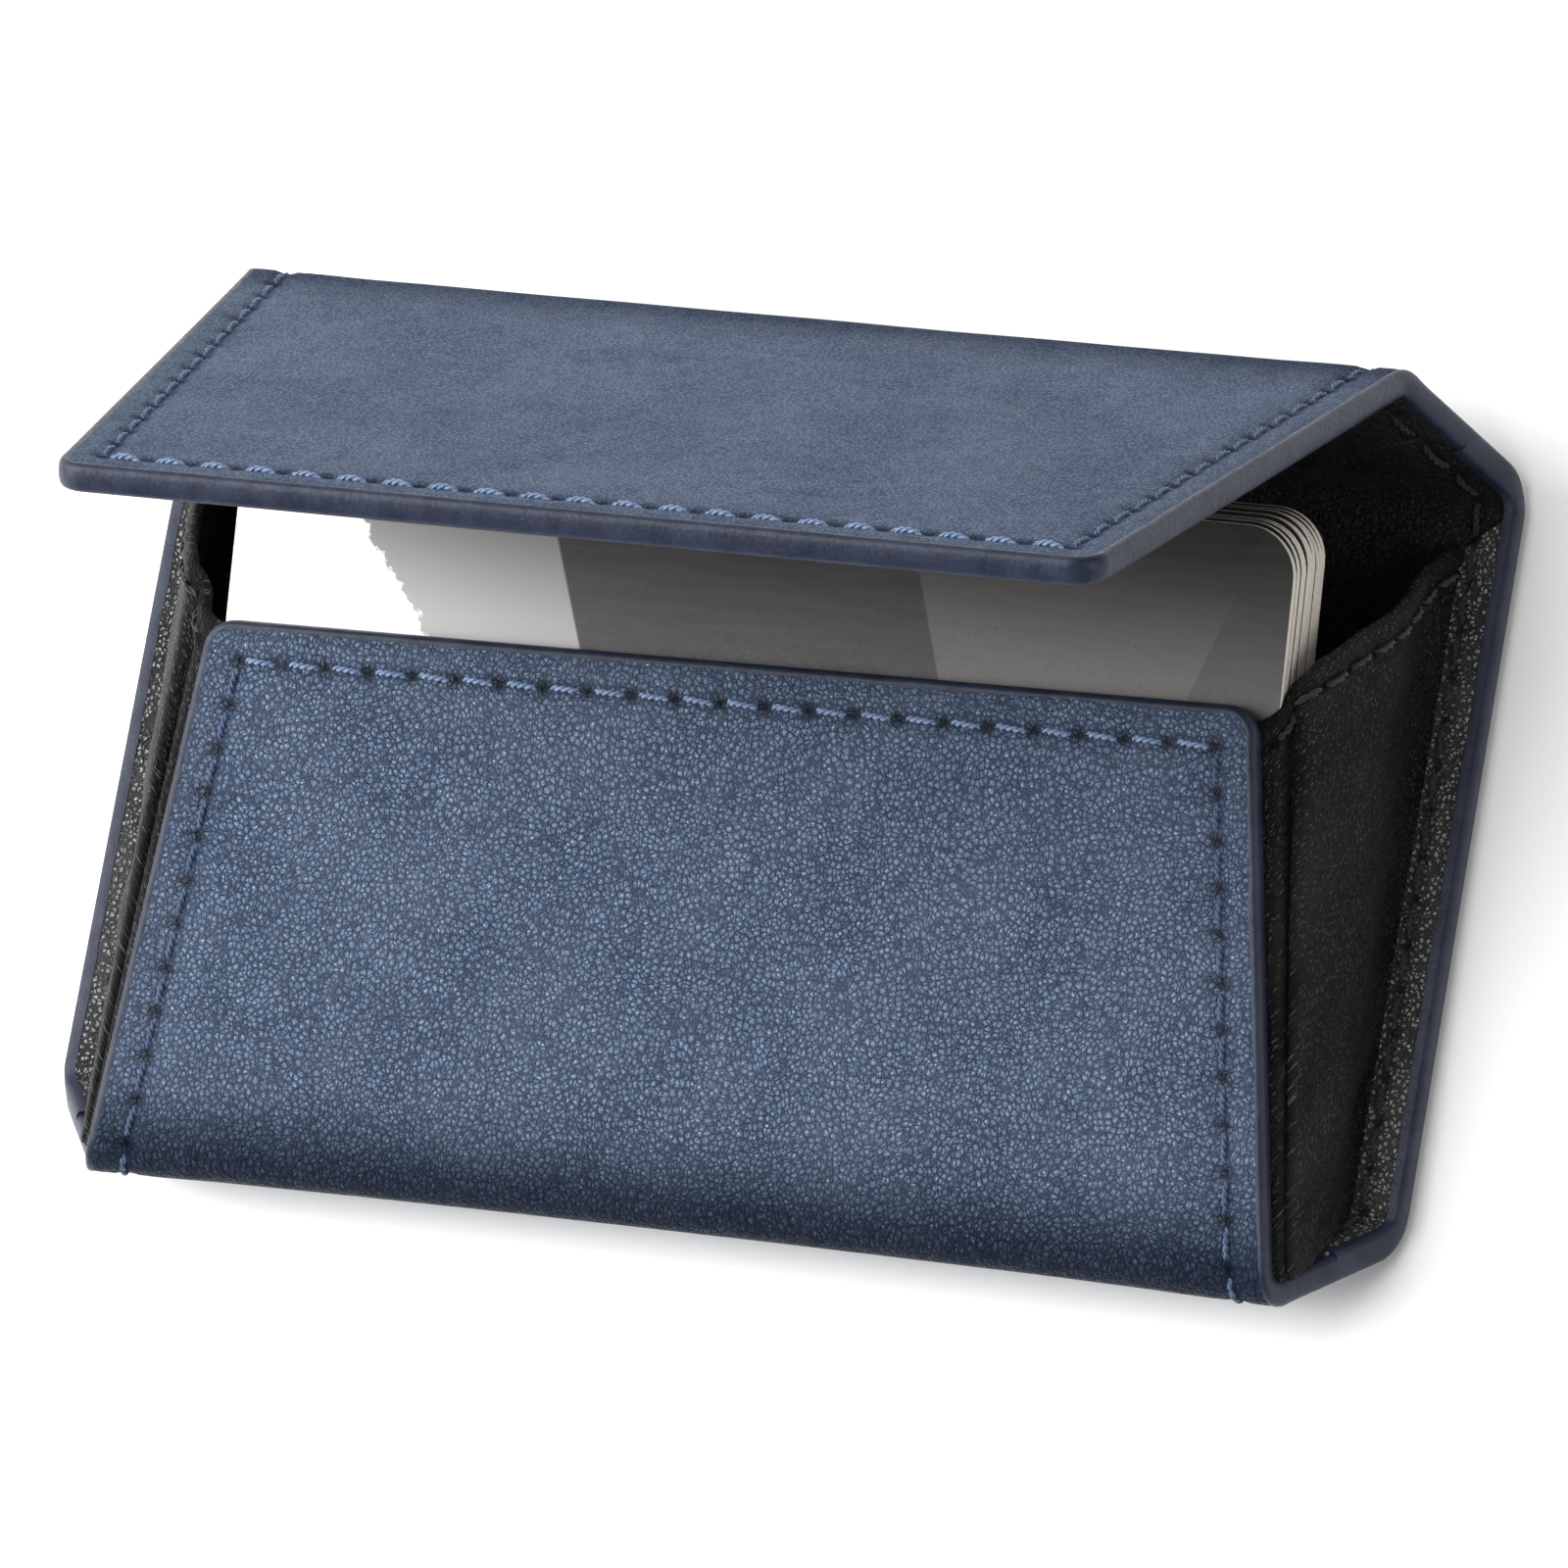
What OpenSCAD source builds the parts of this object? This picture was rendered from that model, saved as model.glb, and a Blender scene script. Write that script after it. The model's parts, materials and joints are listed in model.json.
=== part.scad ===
// Flap-over card holder in two-tone leather, lying on its back panel with the flap part open.
// X runs across the width, Y runs up the back panel to the flap, Z points out of the back panel.
// The origin is the centre of the back panel's outer face.
//
// Each panel is drawn flat in its own plane and then folded into place. In that plane v runs
// along the panel from its fold, x runs across it, and w runs through it: w is 0 halfway through
// the panel and positive towards the inside of the holder.

/* [Cards] */
// Width of one card
card_w = 85.6; // [74:0.2:105]
// Height of one card
card_h = 54; // [44:1:66]
// Thickness of one card
card_t = 0.76; // [0.6:0.02:0.92]
// Number of cards in the stack
card_count = 10; // [6:1:12]
// Gap between one card and the next
card_slack = 0.03; // [0.02:0.01:0.06]
// Radius of a card's corners
card_r = 4; // [2:0.5:6]
// How far each card stands above the one in front of it
card_step = 0.2; // [0.1:0.05:0.25]

/* [Clearances] */
// Gap between the front lining and the first card
card_gap = 0.3; // [0.2:0.05:0.6]
// Gap between the last card and the back lining when the holder is closed
back_gap = 0.4; // [0.3:0.05:0.8]
// Gap under the last card's bottom edge
seat_gap = 0.2; // [0.1:0.05:0.5]
// Gap between the front panel and the flap when the holder is closed
flap_gap = 0.5; // [0.35:0.05:1]
// Gap between a panel and the round of leather at its fold
fold_gap = 0.15; // [0.1:0.05:0.3]
// Gap between the cards' side edges and the gusset wall
side_gap = 3; // [0.5:0.1:4]

/* [Panels] */
// How far a stiffener board stops short of each fold
board_gap = 2.4; // [1.5:0.1:4]
// Room beside the cards, from a card's side edge to the back panel's side edge
side_room = 12.2; // [10.7:0.1:15]
// Room above the cards when the holder is closed
head_room = 4.9; // [3:0.1:9]
// How much of the first card shows above the front panel
card_show = 14.3; // [8:0.1:22]
// How far the flap stops short of the holder's bottom edge when closed
flap_short = 2.3; // [1:0.1:20]
// How far the top strip's sides run in, each side
top_inset = 7.4; // [4:0.1:9]
// How far the flap's sides taper in, each side
flap_taper = 6.8; // [2:0.1:12]
// How far the bottom strip's sides run in, each side
bottom_inset = 6.8; // [4:0.1:8]
// How far the front panel's sides taper in, each side
front_taper = 5.8; // [2:0.1:10]
// Radius of the flap's and the front panel's free corners
corner_r = 2.6; // [1.5:0.1:5]

/* [Leather] */
// Thickness of the outer leather
cover_t = 0.7; // [0.6:0.05:1.2]
// Thickness of the stiffener board
board_t = 0.7; // [0.4:0.05:1.2]
// Thickness of the lining leather
lining_t = 0.6; // [0.5:0.05:1]
// Width of the painted edge bead
edge_t = 0.8; // [0.4:0.05:1]

/* [Gussets] */
// Width of the gusset's sewn flange on the back panel
back_flange = 5.4; // [4.5:0.1:6]
// Width of the gusset's glued flange on the front panel
front_flange = 6; // [4:0.1:8]

/* [Stitching] */
// Distance from one stitch to the next
stitch_pitch = 3.6; // [2.5:0.1:5]
// Length of thread that shows at each stitch
stitch_len = 2.7; // [1.8:0.1:2.9]
// Thickness of the thread
thread_d = 0.5; // [0.4:0.02:0.52]
// How far the thread stands out of its groove
thread_proud = 0.1; // [0.05:0.01:0.15]
// Distance from the panel's edge to the line of stitches
stitch_inset = 3.2; // [2.5:0.1:3.4]

/* [Magnets] */
// Diameter of a magnet
magnet_d = 10; // [6:0.5:14]
// Distance of a magnet's centre from the flap's free edge
magnet_reach = 12; // [9:0.5:20]
// Distance of a magnet's centre from the middle of the width
magnet_x = 18; // [10:1:26]

/* [Rest pose] */
// Angle between the top strip and the back panel's plane
top_angle = 70; // [60:1:85]
// Angle between the flap and the top strip's plane
flap_angle = 51.8; // [45:0.1:80]
// Angle by which the bottom strip rises from the back panel's plane
bottom_rise = 49.1; // [47:0.1:56]
// Angle between the front panel and the back panel
front_tilt = 12.7; // [9:0.1:16]

/* [Hidden] */
$fn = 48;

OUTER = "#46597c";
THREAD = "#24365e";
PAINT = "#2c3454";
LINING = "#26262b";
BOARD = "#8c7b66";
MAGNET = "#b9bcc2";
CARD = "#d9d5cf";

// Steps in a rounded corner
CORNER_STEPS = 8;
// How deep one piece of a gusset runs into the next
GUSSET_LAP = 0.3;
// How far a gusset's wall stays clear of the bottom strip and of the hem's ends
GUSSET_CLEAR = 0.6;
// How far a gusset's hem stops short of the top fold
HEM_DROP = 3;

panel_t = cover_t + board_t + lining_t;
half_t = panel_t / 2;
round_gap = half_t + fold_gap;
w_board = cover_t - half_t;
w_lining = half_t - lining_t;

// The angle inside the bend between the bottom strip and the front panel
bend = bottom_rise + front_tilt;
card_pitch = card_t + card_slack;
stack_t = card_count * card_pitch;
bottom_depth = (panel_t + card_gap + stack_t + back_gap) / sin(bend);
// Where the linings stop short of the bend, so that their inner faces don't meet inside it
mitre_v = half_t / tan(bend / 2) + fold_gap;
top_depth = bottom_depth * sin(bend) + panel_t + flap_gap;

// How far up the front panel a card stands, for a card whose rear face is depth behind the
// middle of the front panel: just clear of the bottom strip
function seat_at(depth) = half_t * sin(bend)
    + (depth + half_t * cos(bend)) / tan(bend) + seat_gap;
first_card_w = half_t + card_gap;
last_seat = seat_at(first_card_w + stack_t);
function seat(k) = last_seat - (card_count - 1 - k) * card_step;

back_w = card_w + 2 * side_room;
back_h = last_seat + card_h - bottom_depth * cos(bend) + head_room;
flap_len = back_h - flap_short;
front_len = seat(0) + card_h - card_show;
magnet_v = flap_len - magnet_reach;
magnet_s = back_h - magnet_v + bottom_depth * cos(bend);

// A panel is its length, its half widths at the fold and at the far end, and its corner radius
BACK = [back_h, back_w / 2, back_w / 2, 0];
TOP = [top_depth, back_w / 2, back_w / 2 - top_inset, 0];
FLAP = [flap_len, TOP[2], TOP[2] - flap_taper, corner_r];
BOTTOM = [bottom_depth, back_w / 2, back_w / 2 - bottom_inset, 0];
FRONT = [front_len, BOTTOM[2], BOTTOM[2] - front_taper, corner_r];

elbow_x = card_w / 2 + side_gap;

// ---- Places of the panels -------------------------------------------------------------------

module at_back() {
    translate([0, -back_h / 2, half_t]) children();
}

module at_top() {
    at_back() translate([0, back_h, 0]) rotate([top_angle, 0, 0]) children();
}

module at_flap() {
    at_top() translate([0, top_depth, 0]) rotate([flap_angle, 0, 0]) children();
}

// The bottom strip and the front panel are turned over, so that w is positive on the inside
module at_bottom() {
    at_back() rotate([180 - bottom_rise, 0, 0]) rotate([0, 180, 0]) children();
}

module at_front() {
    at_back() rotate([180 - bottom_rise, 0, 0]) translate([0, bottom_depth, 0])
        rotate([bend - 180, 0, 0]) rotate([0, 180, 0]) children();
}

// ---- Flat outlines --------------------------------------------------------------------------

function side_slope(p) = atan((p[1] - p[2]) / p[0]);
function side_reach(p) = p[1] * cos(side_slope(p));
// Half width of a panel at v, for an outline drawn inset by d from its sides
function half_width(p, v, d) = (side_reach(p) - d - v * sin(side_slope(p))) / cos(side_slope(p));

// Right-hand side of an outline from v0 to v1, inset by d, with its far corner rounded
function right_side(p, v0, v1, d, r) = let (a = side_slope(p))
    r <= 0
    ? [[half_width(p, v0, d), v0], [half_width(p, v1, d), v1]]
    : concat([[half_width(p, v0, d), v0]],
             [for (i = [0 : CORNER_STEPS]) let (g = a + (90 - a) * i / CORNER_STEPS)
                 [half_width(p, v1 - r, d + r) + r * cos(g), v1 - r + r * sin(g)]]);

function left_of(points) = [for (i = [len(points) - 1 : -1 : 0]) [-points[i][0], points[i][1]]];

// Part of panel p from v0 to v1, inset by d, between the levels w0 and w1
module slab(p, v0, v1, d, w0, w1) {
    side = right_side(p, v0, v1, d, p[3] - d);
    translate([0, 0, w0]) linear_extrude(w1 - w0) polygon(concat(side, left_of(side)));
}

// Where a panel ends: short of its fold at both ends, or inset from its free edge
function far_end(p, d) = p[3] > 0 ? p[0] - d : p[0] - round_gap;

module layer(p, w0, w1, d = edge_t) {
    slab(p, round_gap, far_end(p, d), d, w0, w1);
}

// Painted bead along a panel's sides, and round its free edge, up to v1
module bead(p, v1, w0, w1) {
    difference() {
        slab(p, round_gap, v1, 0, w0, w1);
        slab(p, round_gap - 1, p[3] > 0 ? p[0] - edge_t : p[0], edge_t, w0 - 1, w1 + 1);
    }
}

// Groove that the thread lies in, from the face at w_face inwards
module groove(p, w0, w1) {
    far = p[3] > 0 ? p[0] : p[0] + stitch_inset;
    difference() {
        slab(p, -1, far - stitch_inset + thread_d / 2, stitch_inset - thread_d / 2, w0, w1);
        slab(p, -2, far - stitch_inset - thread_d / 2, stitch_inset + thread_d / 2, w0 - 1, w1 + 1);
    }
}

// One visible stitch, lying along v
module stitch() {
    translate([0, stitch_len / 2, 0]) rotate([90, 0, 0]) cylinder(d = thread_d, h = stitch_len, $fn = 16);
}

// Stitches in a straight run between two points of the panel, at the level w
module run(from, to, w) {
    span = norm(to - from);
    count = floor(span / stitch_pitch);
    turn = atan2(to[1] - from[1], to[0] - from[0]) - 90;
    for (i = [0 : count - 1]) {
        mid = from + (to - from) * (i + 0.5) / count;
        translate([mid[0], mid[1], w]) rotate([0, 0, turn]) stitch();
    }
}

// Stitches down both sides of a panel, and along its free edge if it has one
module stitches(p, w) {
    v0 = round_gap + 0.5;
    v1 = p[3] > 0 ? p[0] - stitch_inset - 0.6 : p[0] - round_gap - 0.5;
    for (s = [-1, 1]) {
        run([s * half_width(p, v0, stitch_inset), v0], [s * half_width(p, v1, stitch_inset), v1], w);
    }
    if (p[3] > 0) {
        x1 = half_width(p, p[0] - stitch_inset, stitch_inset) - 0.6;
        run([-x1, p[0] - stitch_inset], [x1, p[0] - stitch_inset], w);
    }
}

// ---- Layers of a panel ----------------------------------------------------------------------

groove_d = thread_d - thread_proud;
w_thread_out = -half_t + groove_d - thread_d / 2;
w_thread_in = half_t - groove_d + thread_d / 2;

// The outer leather, with a groove of the given depth for the thread
module cover(p, depth) {
    color(OUTER) difference() {
        layer(p, -half_t, w_board);
        groove(p, -half_t - 1, -half_t + depth);
    }
}

// The leather of a strip, with the round of leather at both of its folds
module strip_cover(p) {
    color(OUTER) {
        slab(p, 0, p[0], edge_t, -half_t, w_board);
        for (v = [0, p[0]]) {
            translate([-half_width(p, v, edge_t), v, 0]) rotate([0, 90, 0])
                cylinder(r = half_t, h = 2 * half_width(p, v, edge_t));
        }
    }
}

module board_layer(p) {
    end = p[3] > 0 ? p[0] - edge_t : p[0] - board_gap;
    slab(p, board_gap, end, edge_t, w_board, w_lining);
}

module board(p) {
    color(BOARD) board_layer(p);
}

module magnet_places(v) {
    for (s = [-1, 1]) {
        translate([s * magnet_x, v, w_board]) children();
    }
}

module magnet_board(p, v) {
    color(BOARD) difference() {
        board_layer(p);
        magnet_places(v) translate([0, 0, -1]) cylinder(d = magnet_d, h = board_t + 2);
    }
}

module magnets(v) {
    color(MAGNET) magnet_places(v) cylinder(d = magnet_d, h = board_t);
}

// ---- Back panel -----------------------------------------------------------------------------

// The back's thread lies flush, so that the holder rests on its leather
module back_cover() {
    at_back() cover(BACK, thread_d);
}

module back_board() {
    at_back() board(BACK);
}

// The lining stops at the gussets' flanges
module back_lining() {
    at_back() color(LINING) layer(BACK, w_lining, half_t, edge_t + back_flange);
}

module back_edge_paint() {
    at_back() color(PAINT) bead(BACK, far_end(BACK, 0), -half_t, half_t);
}

module back_stitching() {
    at_back() color(THREAD) {
        stitches(BACK, -half_t + thread_d / 2);
        stitches(BACK, half_t + thread_d / 2);
    }
}

// ---- Gussets --------------------------------------------------------------------------------

// A point given in the front panel's plane, as x, v and w, in the back panel's axes
function from_front(x, v, w) = [
    x,
    -bottom_depth * cos(bottom_rise) + v * cos(front_tilt) + w * sin(front_tilt),
    bottom_depth * sin(bottom_rise) + v * sin(front_tilt) - w * cos(front_tilt)
];

wall_v0 = seat_at(half_t) - seat_gap + GUSSET_CLEAR;
wall_v1 = front_len - GUSSET_CLEAR;
wall_y0 = round_gap + GUSSET_CLEAR;
wall_y1 = back_h - round_gap - HEM_DROP;
flange_x = back_w / 2 - edge_t - back_flange;

// The wall from the front panel's flange, at the elbow, down to the back panel's flange, where
// it stands one thickness in from the flange's edge. Its corners go round the bottom end and
// then round the hem end.
module gusset_wall() {
    level = half_t - GUSSET_LAP;
    foot_x = flange_x + lining_t;
    corners = [
        from_front(elbow_x, wall_v0, level), from_front(elbow_x + lining_t, wall_v0, level),
        [foot_x + lining_t, wall_y0, level], [foot_x, wall_y0, level],
        from_front(elbow_x, wall_v1, level), from_front(elbow_x + lining_t, wall_v1, level),
        [foot_x + lining_t, wall_y1, level], [foot_x, wall_y1, level]
    ];
    polyhedron(corners, [[0, 1, 2], [0, 2, 3], [4, 6, 5], [4, 7, 6], [0, 5, 1], [0, 4, 5],
                         [1, 5, 2], [5, 6, 2], [2, 7, 3], [2, 6, 7], [3, 4, 0], [3, 7, 4]]);
}

// Flange along the front panel, in the layer that its lining leaves free. The front panel is
// turned over, so its right-hand side is at negative x in its own plane.
module front_flange_plate() {
    edge = [-half_width(FRONT, wall_v0, front_flange), wall_v0];
    hem = [-half_width(FRONT, wall_v1, front_flange), wall_v1];
    out = -elbow_x - lining_t;
    translate([0, 0, w_lining]) linear_extrude(lining_t)
        polygon([edge, [out, wall_v0], [out, wall_v1], hem]);
}

module back_flange_plate() {
    translate([flange_x, round_gap, w_lining])
        cube([back_flange, back_h - 2 * round_gap, lining_t]);
}

module gusset() {
    at_back() back_flange_plate();
    at_back() gusset_wall();
    at_front() front_flange_plate();
}

module left_gusset() {
    color(LINING) mirror([1, 0, 0]) gusset();
}

module right_gusset() {
    color(LINING) gusset();
}

// ---- Top strip ------------------------------------------------------------------------------

module top_cover() {
    at_top() strip_cover(TOP);
}

module top_board() {
    at_top() board(TOP);
}

module top_lining() {
    at_top() color(LINING) layer(TOP, w_lining, half_t);
}

module top_edge_paint() {
    at_top() color(PAINT) bead(TOP, far_end(TOP, 0), -half_t, half_t);
}

// ---- Flap -----------------------------------------------------------------------------------

module flap_cover() {
    at_flap() cover(FLAP, groove_d);
}

module flap_board() {
    at_flap() magnet_board(FLAP, magnet_v);
}

module flap_lining() {
    at_flap() color(LINING) difference() {
        layer(FLAP, w_lining, half_t);
        groove(FLAP, half_t - groove_d, half_t + 1);
    }
}

module flap_edge_paint() {
    at_flap() color(PAINT) bead(FLAP, flap_len, -half_t, half_t);
}

module flap_stitching() {
    at_flap() color(THREAD) {
        stitches(FLAP, w_thread_out);
        stitches(FLAP, w_thread_in);
    }
}

module flap_magnets() {
    at_flap() magnets(magnet_v);
}

// ---- Bottom strip ---------------------------------------------------------------------------

module bottom_cover() {
    at_bottom() strip_cover(BOTTOM);
}

module bottom_board() {
    at_bottom() board(BOTTOM);
}

module bottom_lining() {
    at_bottom() color(LINING)
        slab(BOTTOM, round_gap, bottom_depth - mitre_v, edge_t, w_lining, half_t);
}

module bottom_edge_paint() {
    at_bottom() color(PAINT) bead(BOTTOM, bottom_depth - mitre_v, -half_t, half_t);
}

// ---- Front panel ----------------------------------------------------------------------------

module front_cover() {
    at_front() cover(FRONT, groove_d);
}

module front_board() {
    at_front() magnet_board(FRONT, magnet_s);
}

// The lining stops at the gussets' flanges
module front_lining() {
    at_front() color(LINING)
        slab(FRONT, mitre_v, front_len - edge_t, front_flange, w_lining, half_t);
}

// The gussets leave the front panel under its painted edge
module front_edge_paint() {
    at_front() color(PAINT) bead(FRONT, front_len, -half_t, w_lining);
}

module front_stitching() {
    at_front() color(THREAD) stitches(FRONT, w_thread_out);
}

module front_magnets() {
    at_front() magnets(magnet_s);
}

// ---- Cards ----------------------------------------------------------------------------------

module card() {
    reach_x = card_w / 2 - card_r;
    linear_extrude(card_t) union() {
        translate([-reach_x, 0]) square([2 * reach_x, card_h]);
        translate([-card_w / 2, card_r]) square([card_w, card_h - 2 * card_r]);
        for (x = [-reach_x, reach_x], y = [card_r, card_h - card_r]) {
            translate([x, y]) circle(r = card_r);
        }
    }
}

module card_stack() {
    at_front() color(CARD) for (k = [0 : card_count - 1]) {
        translate([0, seat(k), first_card_w + k * card_pitch]) card();
    }
}

back_cover();
back_board();
back_lining();
back_edge_paint();
back_stitching();
left_gusset();
right_gusset();
top_cover();
top_board();
top_lining();
top_edge_paint();
flap_cover();
flap_board();
flap_lining();
flap_edge_paint();
flap_stitching();
flap_magnets();
bottom_cover();
bottom_board();
bottom_lining();
bottom_edge_paint();
front_cover();
front_board();
front_lining();
front_edge_paint();
front_stitching();
front_magnets();
card_stack();
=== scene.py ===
"""The card holder's looks: grained leather, painted edges, thread, soft gussets and cards.

The holder is one strip of leather panels, folded at four creases. Each point of it has flat
coordinates in millimetres: x across, p along the strip from the front panel's free edge to the
flap's free edge, and w through the strip, positive inside the holder. `fold` turns those into
a place in the frame.
"""
import json
import math

import bpy
import numpy as np
from mathutils import Matrix, Vector, noise


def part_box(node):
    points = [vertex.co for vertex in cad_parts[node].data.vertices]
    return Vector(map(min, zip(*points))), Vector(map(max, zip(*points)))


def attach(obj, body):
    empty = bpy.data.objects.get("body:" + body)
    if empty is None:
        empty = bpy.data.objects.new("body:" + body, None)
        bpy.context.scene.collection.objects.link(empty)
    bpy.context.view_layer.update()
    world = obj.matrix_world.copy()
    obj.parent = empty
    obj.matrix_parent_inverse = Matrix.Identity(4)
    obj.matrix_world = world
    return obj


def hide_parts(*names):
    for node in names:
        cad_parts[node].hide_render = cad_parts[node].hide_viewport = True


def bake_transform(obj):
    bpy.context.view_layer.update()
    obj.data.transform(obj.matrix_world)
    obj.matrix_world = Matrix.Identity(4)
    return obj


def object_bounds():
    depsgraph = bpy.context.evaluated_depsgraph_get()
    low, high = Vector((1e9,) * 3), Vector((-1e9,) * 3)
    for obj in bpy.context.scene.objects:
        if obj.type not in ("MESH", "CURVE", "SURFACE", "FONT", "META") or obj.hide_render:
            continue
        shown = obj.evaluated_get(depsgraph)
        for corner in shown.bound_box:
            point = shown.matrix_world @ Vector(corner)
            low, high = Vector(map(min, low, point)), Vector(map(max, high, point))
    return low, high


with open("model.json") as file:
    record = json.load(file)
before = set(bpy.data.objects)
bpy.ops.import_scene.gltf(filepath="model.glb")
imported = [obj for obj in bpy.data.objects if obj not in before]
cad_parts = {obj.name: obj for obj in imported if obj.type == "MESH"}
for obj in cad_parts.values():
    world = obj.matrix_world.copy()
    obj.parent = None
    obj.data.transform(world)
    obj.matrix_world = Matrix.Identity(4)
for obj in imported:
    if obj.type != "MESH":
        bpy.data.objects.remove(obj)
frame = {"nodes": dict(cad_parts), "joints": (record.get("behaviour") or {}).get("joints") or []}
cad_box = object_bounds()

MM = 0.001
scene = bpy.context.scene

# ---- Driving sizes of the strip, in millimetres and degrees ----

HALF_T = 1.0            # half the thickness of a panel
COVER_T = 0.7           # outer leather
LINING_T = 0.6          # lining leather
FRONT_LEN = 44.17       # front panel, from its bend to its free edge
STRIP_LEN = 12.03       # bottom strip
FLAP_LEN = 57.18
FRONT_TILT = 12.7       # slope of the front panel
STRIP_RISE = 49.1       # slope of the bottom strip
FLAP_SLOPE = 121.8      # slope of the flap
FRONT_TAPER = 5.8       # how much narrower each side is at a panel's free edge
STRIP_TAPER = 6.8
TOP_TAPER = 7.4
FLAP_TAPER = 6.8
CORNER_R = 2.6          # rounded free corners
BEND_R = {"front": 1.5, "bottom": 3.0, "top": 2.6, "flap": 2.6}  # mid-line radius of each bend
STITCH_INSET = 3.2
STITCH_PITCH = 3.6
THREAD_R = 0.145        # one strand of the twisted thread
TOP_SLOPE = 70          # slope of the top strip
KINK_ROUND = 2.2        # how far each side of a bend the outline is rounded
SLOPE_PROBE = 0.05      # how far each side of a point the outline's slope is measured
FRONT_SKEW = 0.65       # how much longer the front panel is half a back's width right of its middle
FLAP_DRIFT = 0.7        # how far the flap's free edge is set over to the right
BOW_DEPTH = 0.42        # how hollow the front bend is along its length
BOW_REACH = 6.0         # and how far from the bend that shows


def joint_yz(name):
    """A hinge's place in the side view, in millimetres."""
    joint = next(j for j in frame["joints"] if j["name"] == name)
    return np.array(joint["pos_m"][1:], float) / MM


def heading(angle):
    """The unit step (y, z) along a slope in degrees."""
    return np.array([math.cos(math.radians(angle)), math.sin(math.radians(angle))])


BACK_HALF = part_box("back_edge_paint")[1].x / MM
BOTTOM_CREASE = joint_yz("front_fold")
TOP_CREASE = joint_yz("top_fold")
FLAP_CREASE = joint_yz("flap_fold")
FRONT_BEND = BOTTOM_CREASE + STRIP_LEN * heading(180 - STRIP_RISE)
FRONT_END = FRONT_BEND + FRONT_LEN * heading(FRONT_TILT)
FLAP_END = FLAP_CREASE + FLAP_LEN * heading(FLAP_SLOPE)


# ---- The fold map ----

def make_runs():
    """The strip's mid-line as straight and round runs, and the p of each bend's middle."""
    corners = [FRONT_END, FRONT_BEND, BOTTOM_CREASE, TOP_CREASE, FLAP_CREASE, FLAP_END]
    radii = [0, BEND_R["front"], BEND_R["bottom"], BEND_R["top"], BEND_R["flap"], 0]
    runs, bends, p, point = [], [], 0.0, corners[0]
    for i in range(1, len(corners)):
        along = corners[i] - corners[i - 1]
        angle = math.atan2(along[1], along[0])
        unit = np.array([math.cos(angle), math.sin(angle)])
        turn = 0.0
        if i < len(corners) - 1:
            after = corners[i + 1] - corners[i]
            turn = (math.atan2(after[1], after[0]) - angle) % (2 * math.pi)
        stop = corners[i] - unit * radii[i] * math.tan(turn / 2)
        length = float(np.linalg.norm(stop - point))
        runs.append((p, p + length, point, angle, 0.0))
        p += length
        point = stop
        if turn:
            arc = radii[i] * turn
            runs.append((p, p + arc, point, angle, radii[i]))
            bends.append(p + arc / 2)
            p += arc
            point = corners[i] + heading(math.degrees(angle + turn)) * radii[i] * math.tan(turn / 2)
    return runs, bends, p


RUNS, BENDS, STRIP_END = make_runs()
P_FRONT, P_BOTTOM, P_TOP, P_FLAP = BENDS
P_STRIP_MID = (P_FRONT + P_BOTTOM) / 2
P_BACK_MID = (P_BOTTOM + P_TOP) / 2
P_TOP_MID = (P_TOP + P_FLAP) / 2


def hand_sewn(x, p):
    """The small skews of a piece that was folded and glued by hand."""
    up_front = np.clip(1 - p / P_FRONT, 0, 1)
    up_flap = np.clip((p - P_TOP) / (STRIP_END - P_TOP), 0, 1)
    return x + FLAP_DRIFT * np.sqrt(up_flap), p - FRONT_SKEW * up_front * x / BACK_HALF


def fold(x, p, w):
    """Places in the frame, in metres, of flat coordinates in millimetres."""
    x, p, w = np.broadcast_arrays(np.asarray(x, float), np.asarray(p, float), np.asarray(w, float))
    x, p = hand_sewn(x, p)
    y, z = np.zeros(p.shape), np.zeros(p.shape)
    for k, (p0, p1, start, angle, radius) in enumerate(RUNS):
        inside = ((p >= p0) | (k == 0)) & ((p < p1) | (k == len(RUNS) - 1))
        q = p[inside] - p0
        if radius:
            a = angle + q / radius
            centre = start + radius * np.array([-math.sin(angle), math.cos(angle)])
            y[inside] = centre[0] + np.sin(a) * (radius - w[inside])
            z[inside] = centre[1] - np.cos(a) * (radius - w[inside])
        else:
            y[inside] = start[0] + q * math.cos(angle) - w[inside] * math.sin(angle)
            z[inside] = start[1] + q * math.sin(angle) + w[inside] * math.cos(angle)
    return np.stack([x, y, z], axis=-1) * MM


def half_width(p):
    """Half the strip's width at p: straight tapers with rounded changes of slope."""
    front_half = BACK_HALF - STRIP_TAPER
    flap_half = BACK_HALF - TOP_TAPER
    knots_p = [0, P_FRONT, P_BOTTOM, P_TOP, P_FLAP, STRIP_END]
    knots_h = [front_half - FRONT_TAPER, front_half, BACK_HALF, BACK_HALF, flap_half,
               flap_half - FLAP_TAPER]
    p = np.asarray(p, float)
    h = np.interp(p, knots_p, knots_h)
    slopes = np.diff(knots_h) / np.diff(knots_p)
    for k in range(1, len(knots_p) - 1):
        near = np.clip(KINK_ROUND - np.abs(p - knots_p[k]), 0, None)
        h = h + (slopes[k] - slopes[k - 1]) * near ** 2 / (4 * KINK_ROUND)
    return h


def lean(p):
    """Cosine of the outline's slope at p, which turns an inset into a step in x."""
    p = np.asarray(p)
    slope = (half_width(p + SLOPE_PROBE) - half_width(p - SLOPE_PROBE)) / (2 * SLOPE_PROBE)
    return 1 / np.sqrt(1 + slope ** 2)


def near(distance, reach):
    """1 at no distance, falling to nothing within about twice the reach."""
    return np.exp(-(distance / reach) ** 2)


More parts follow.
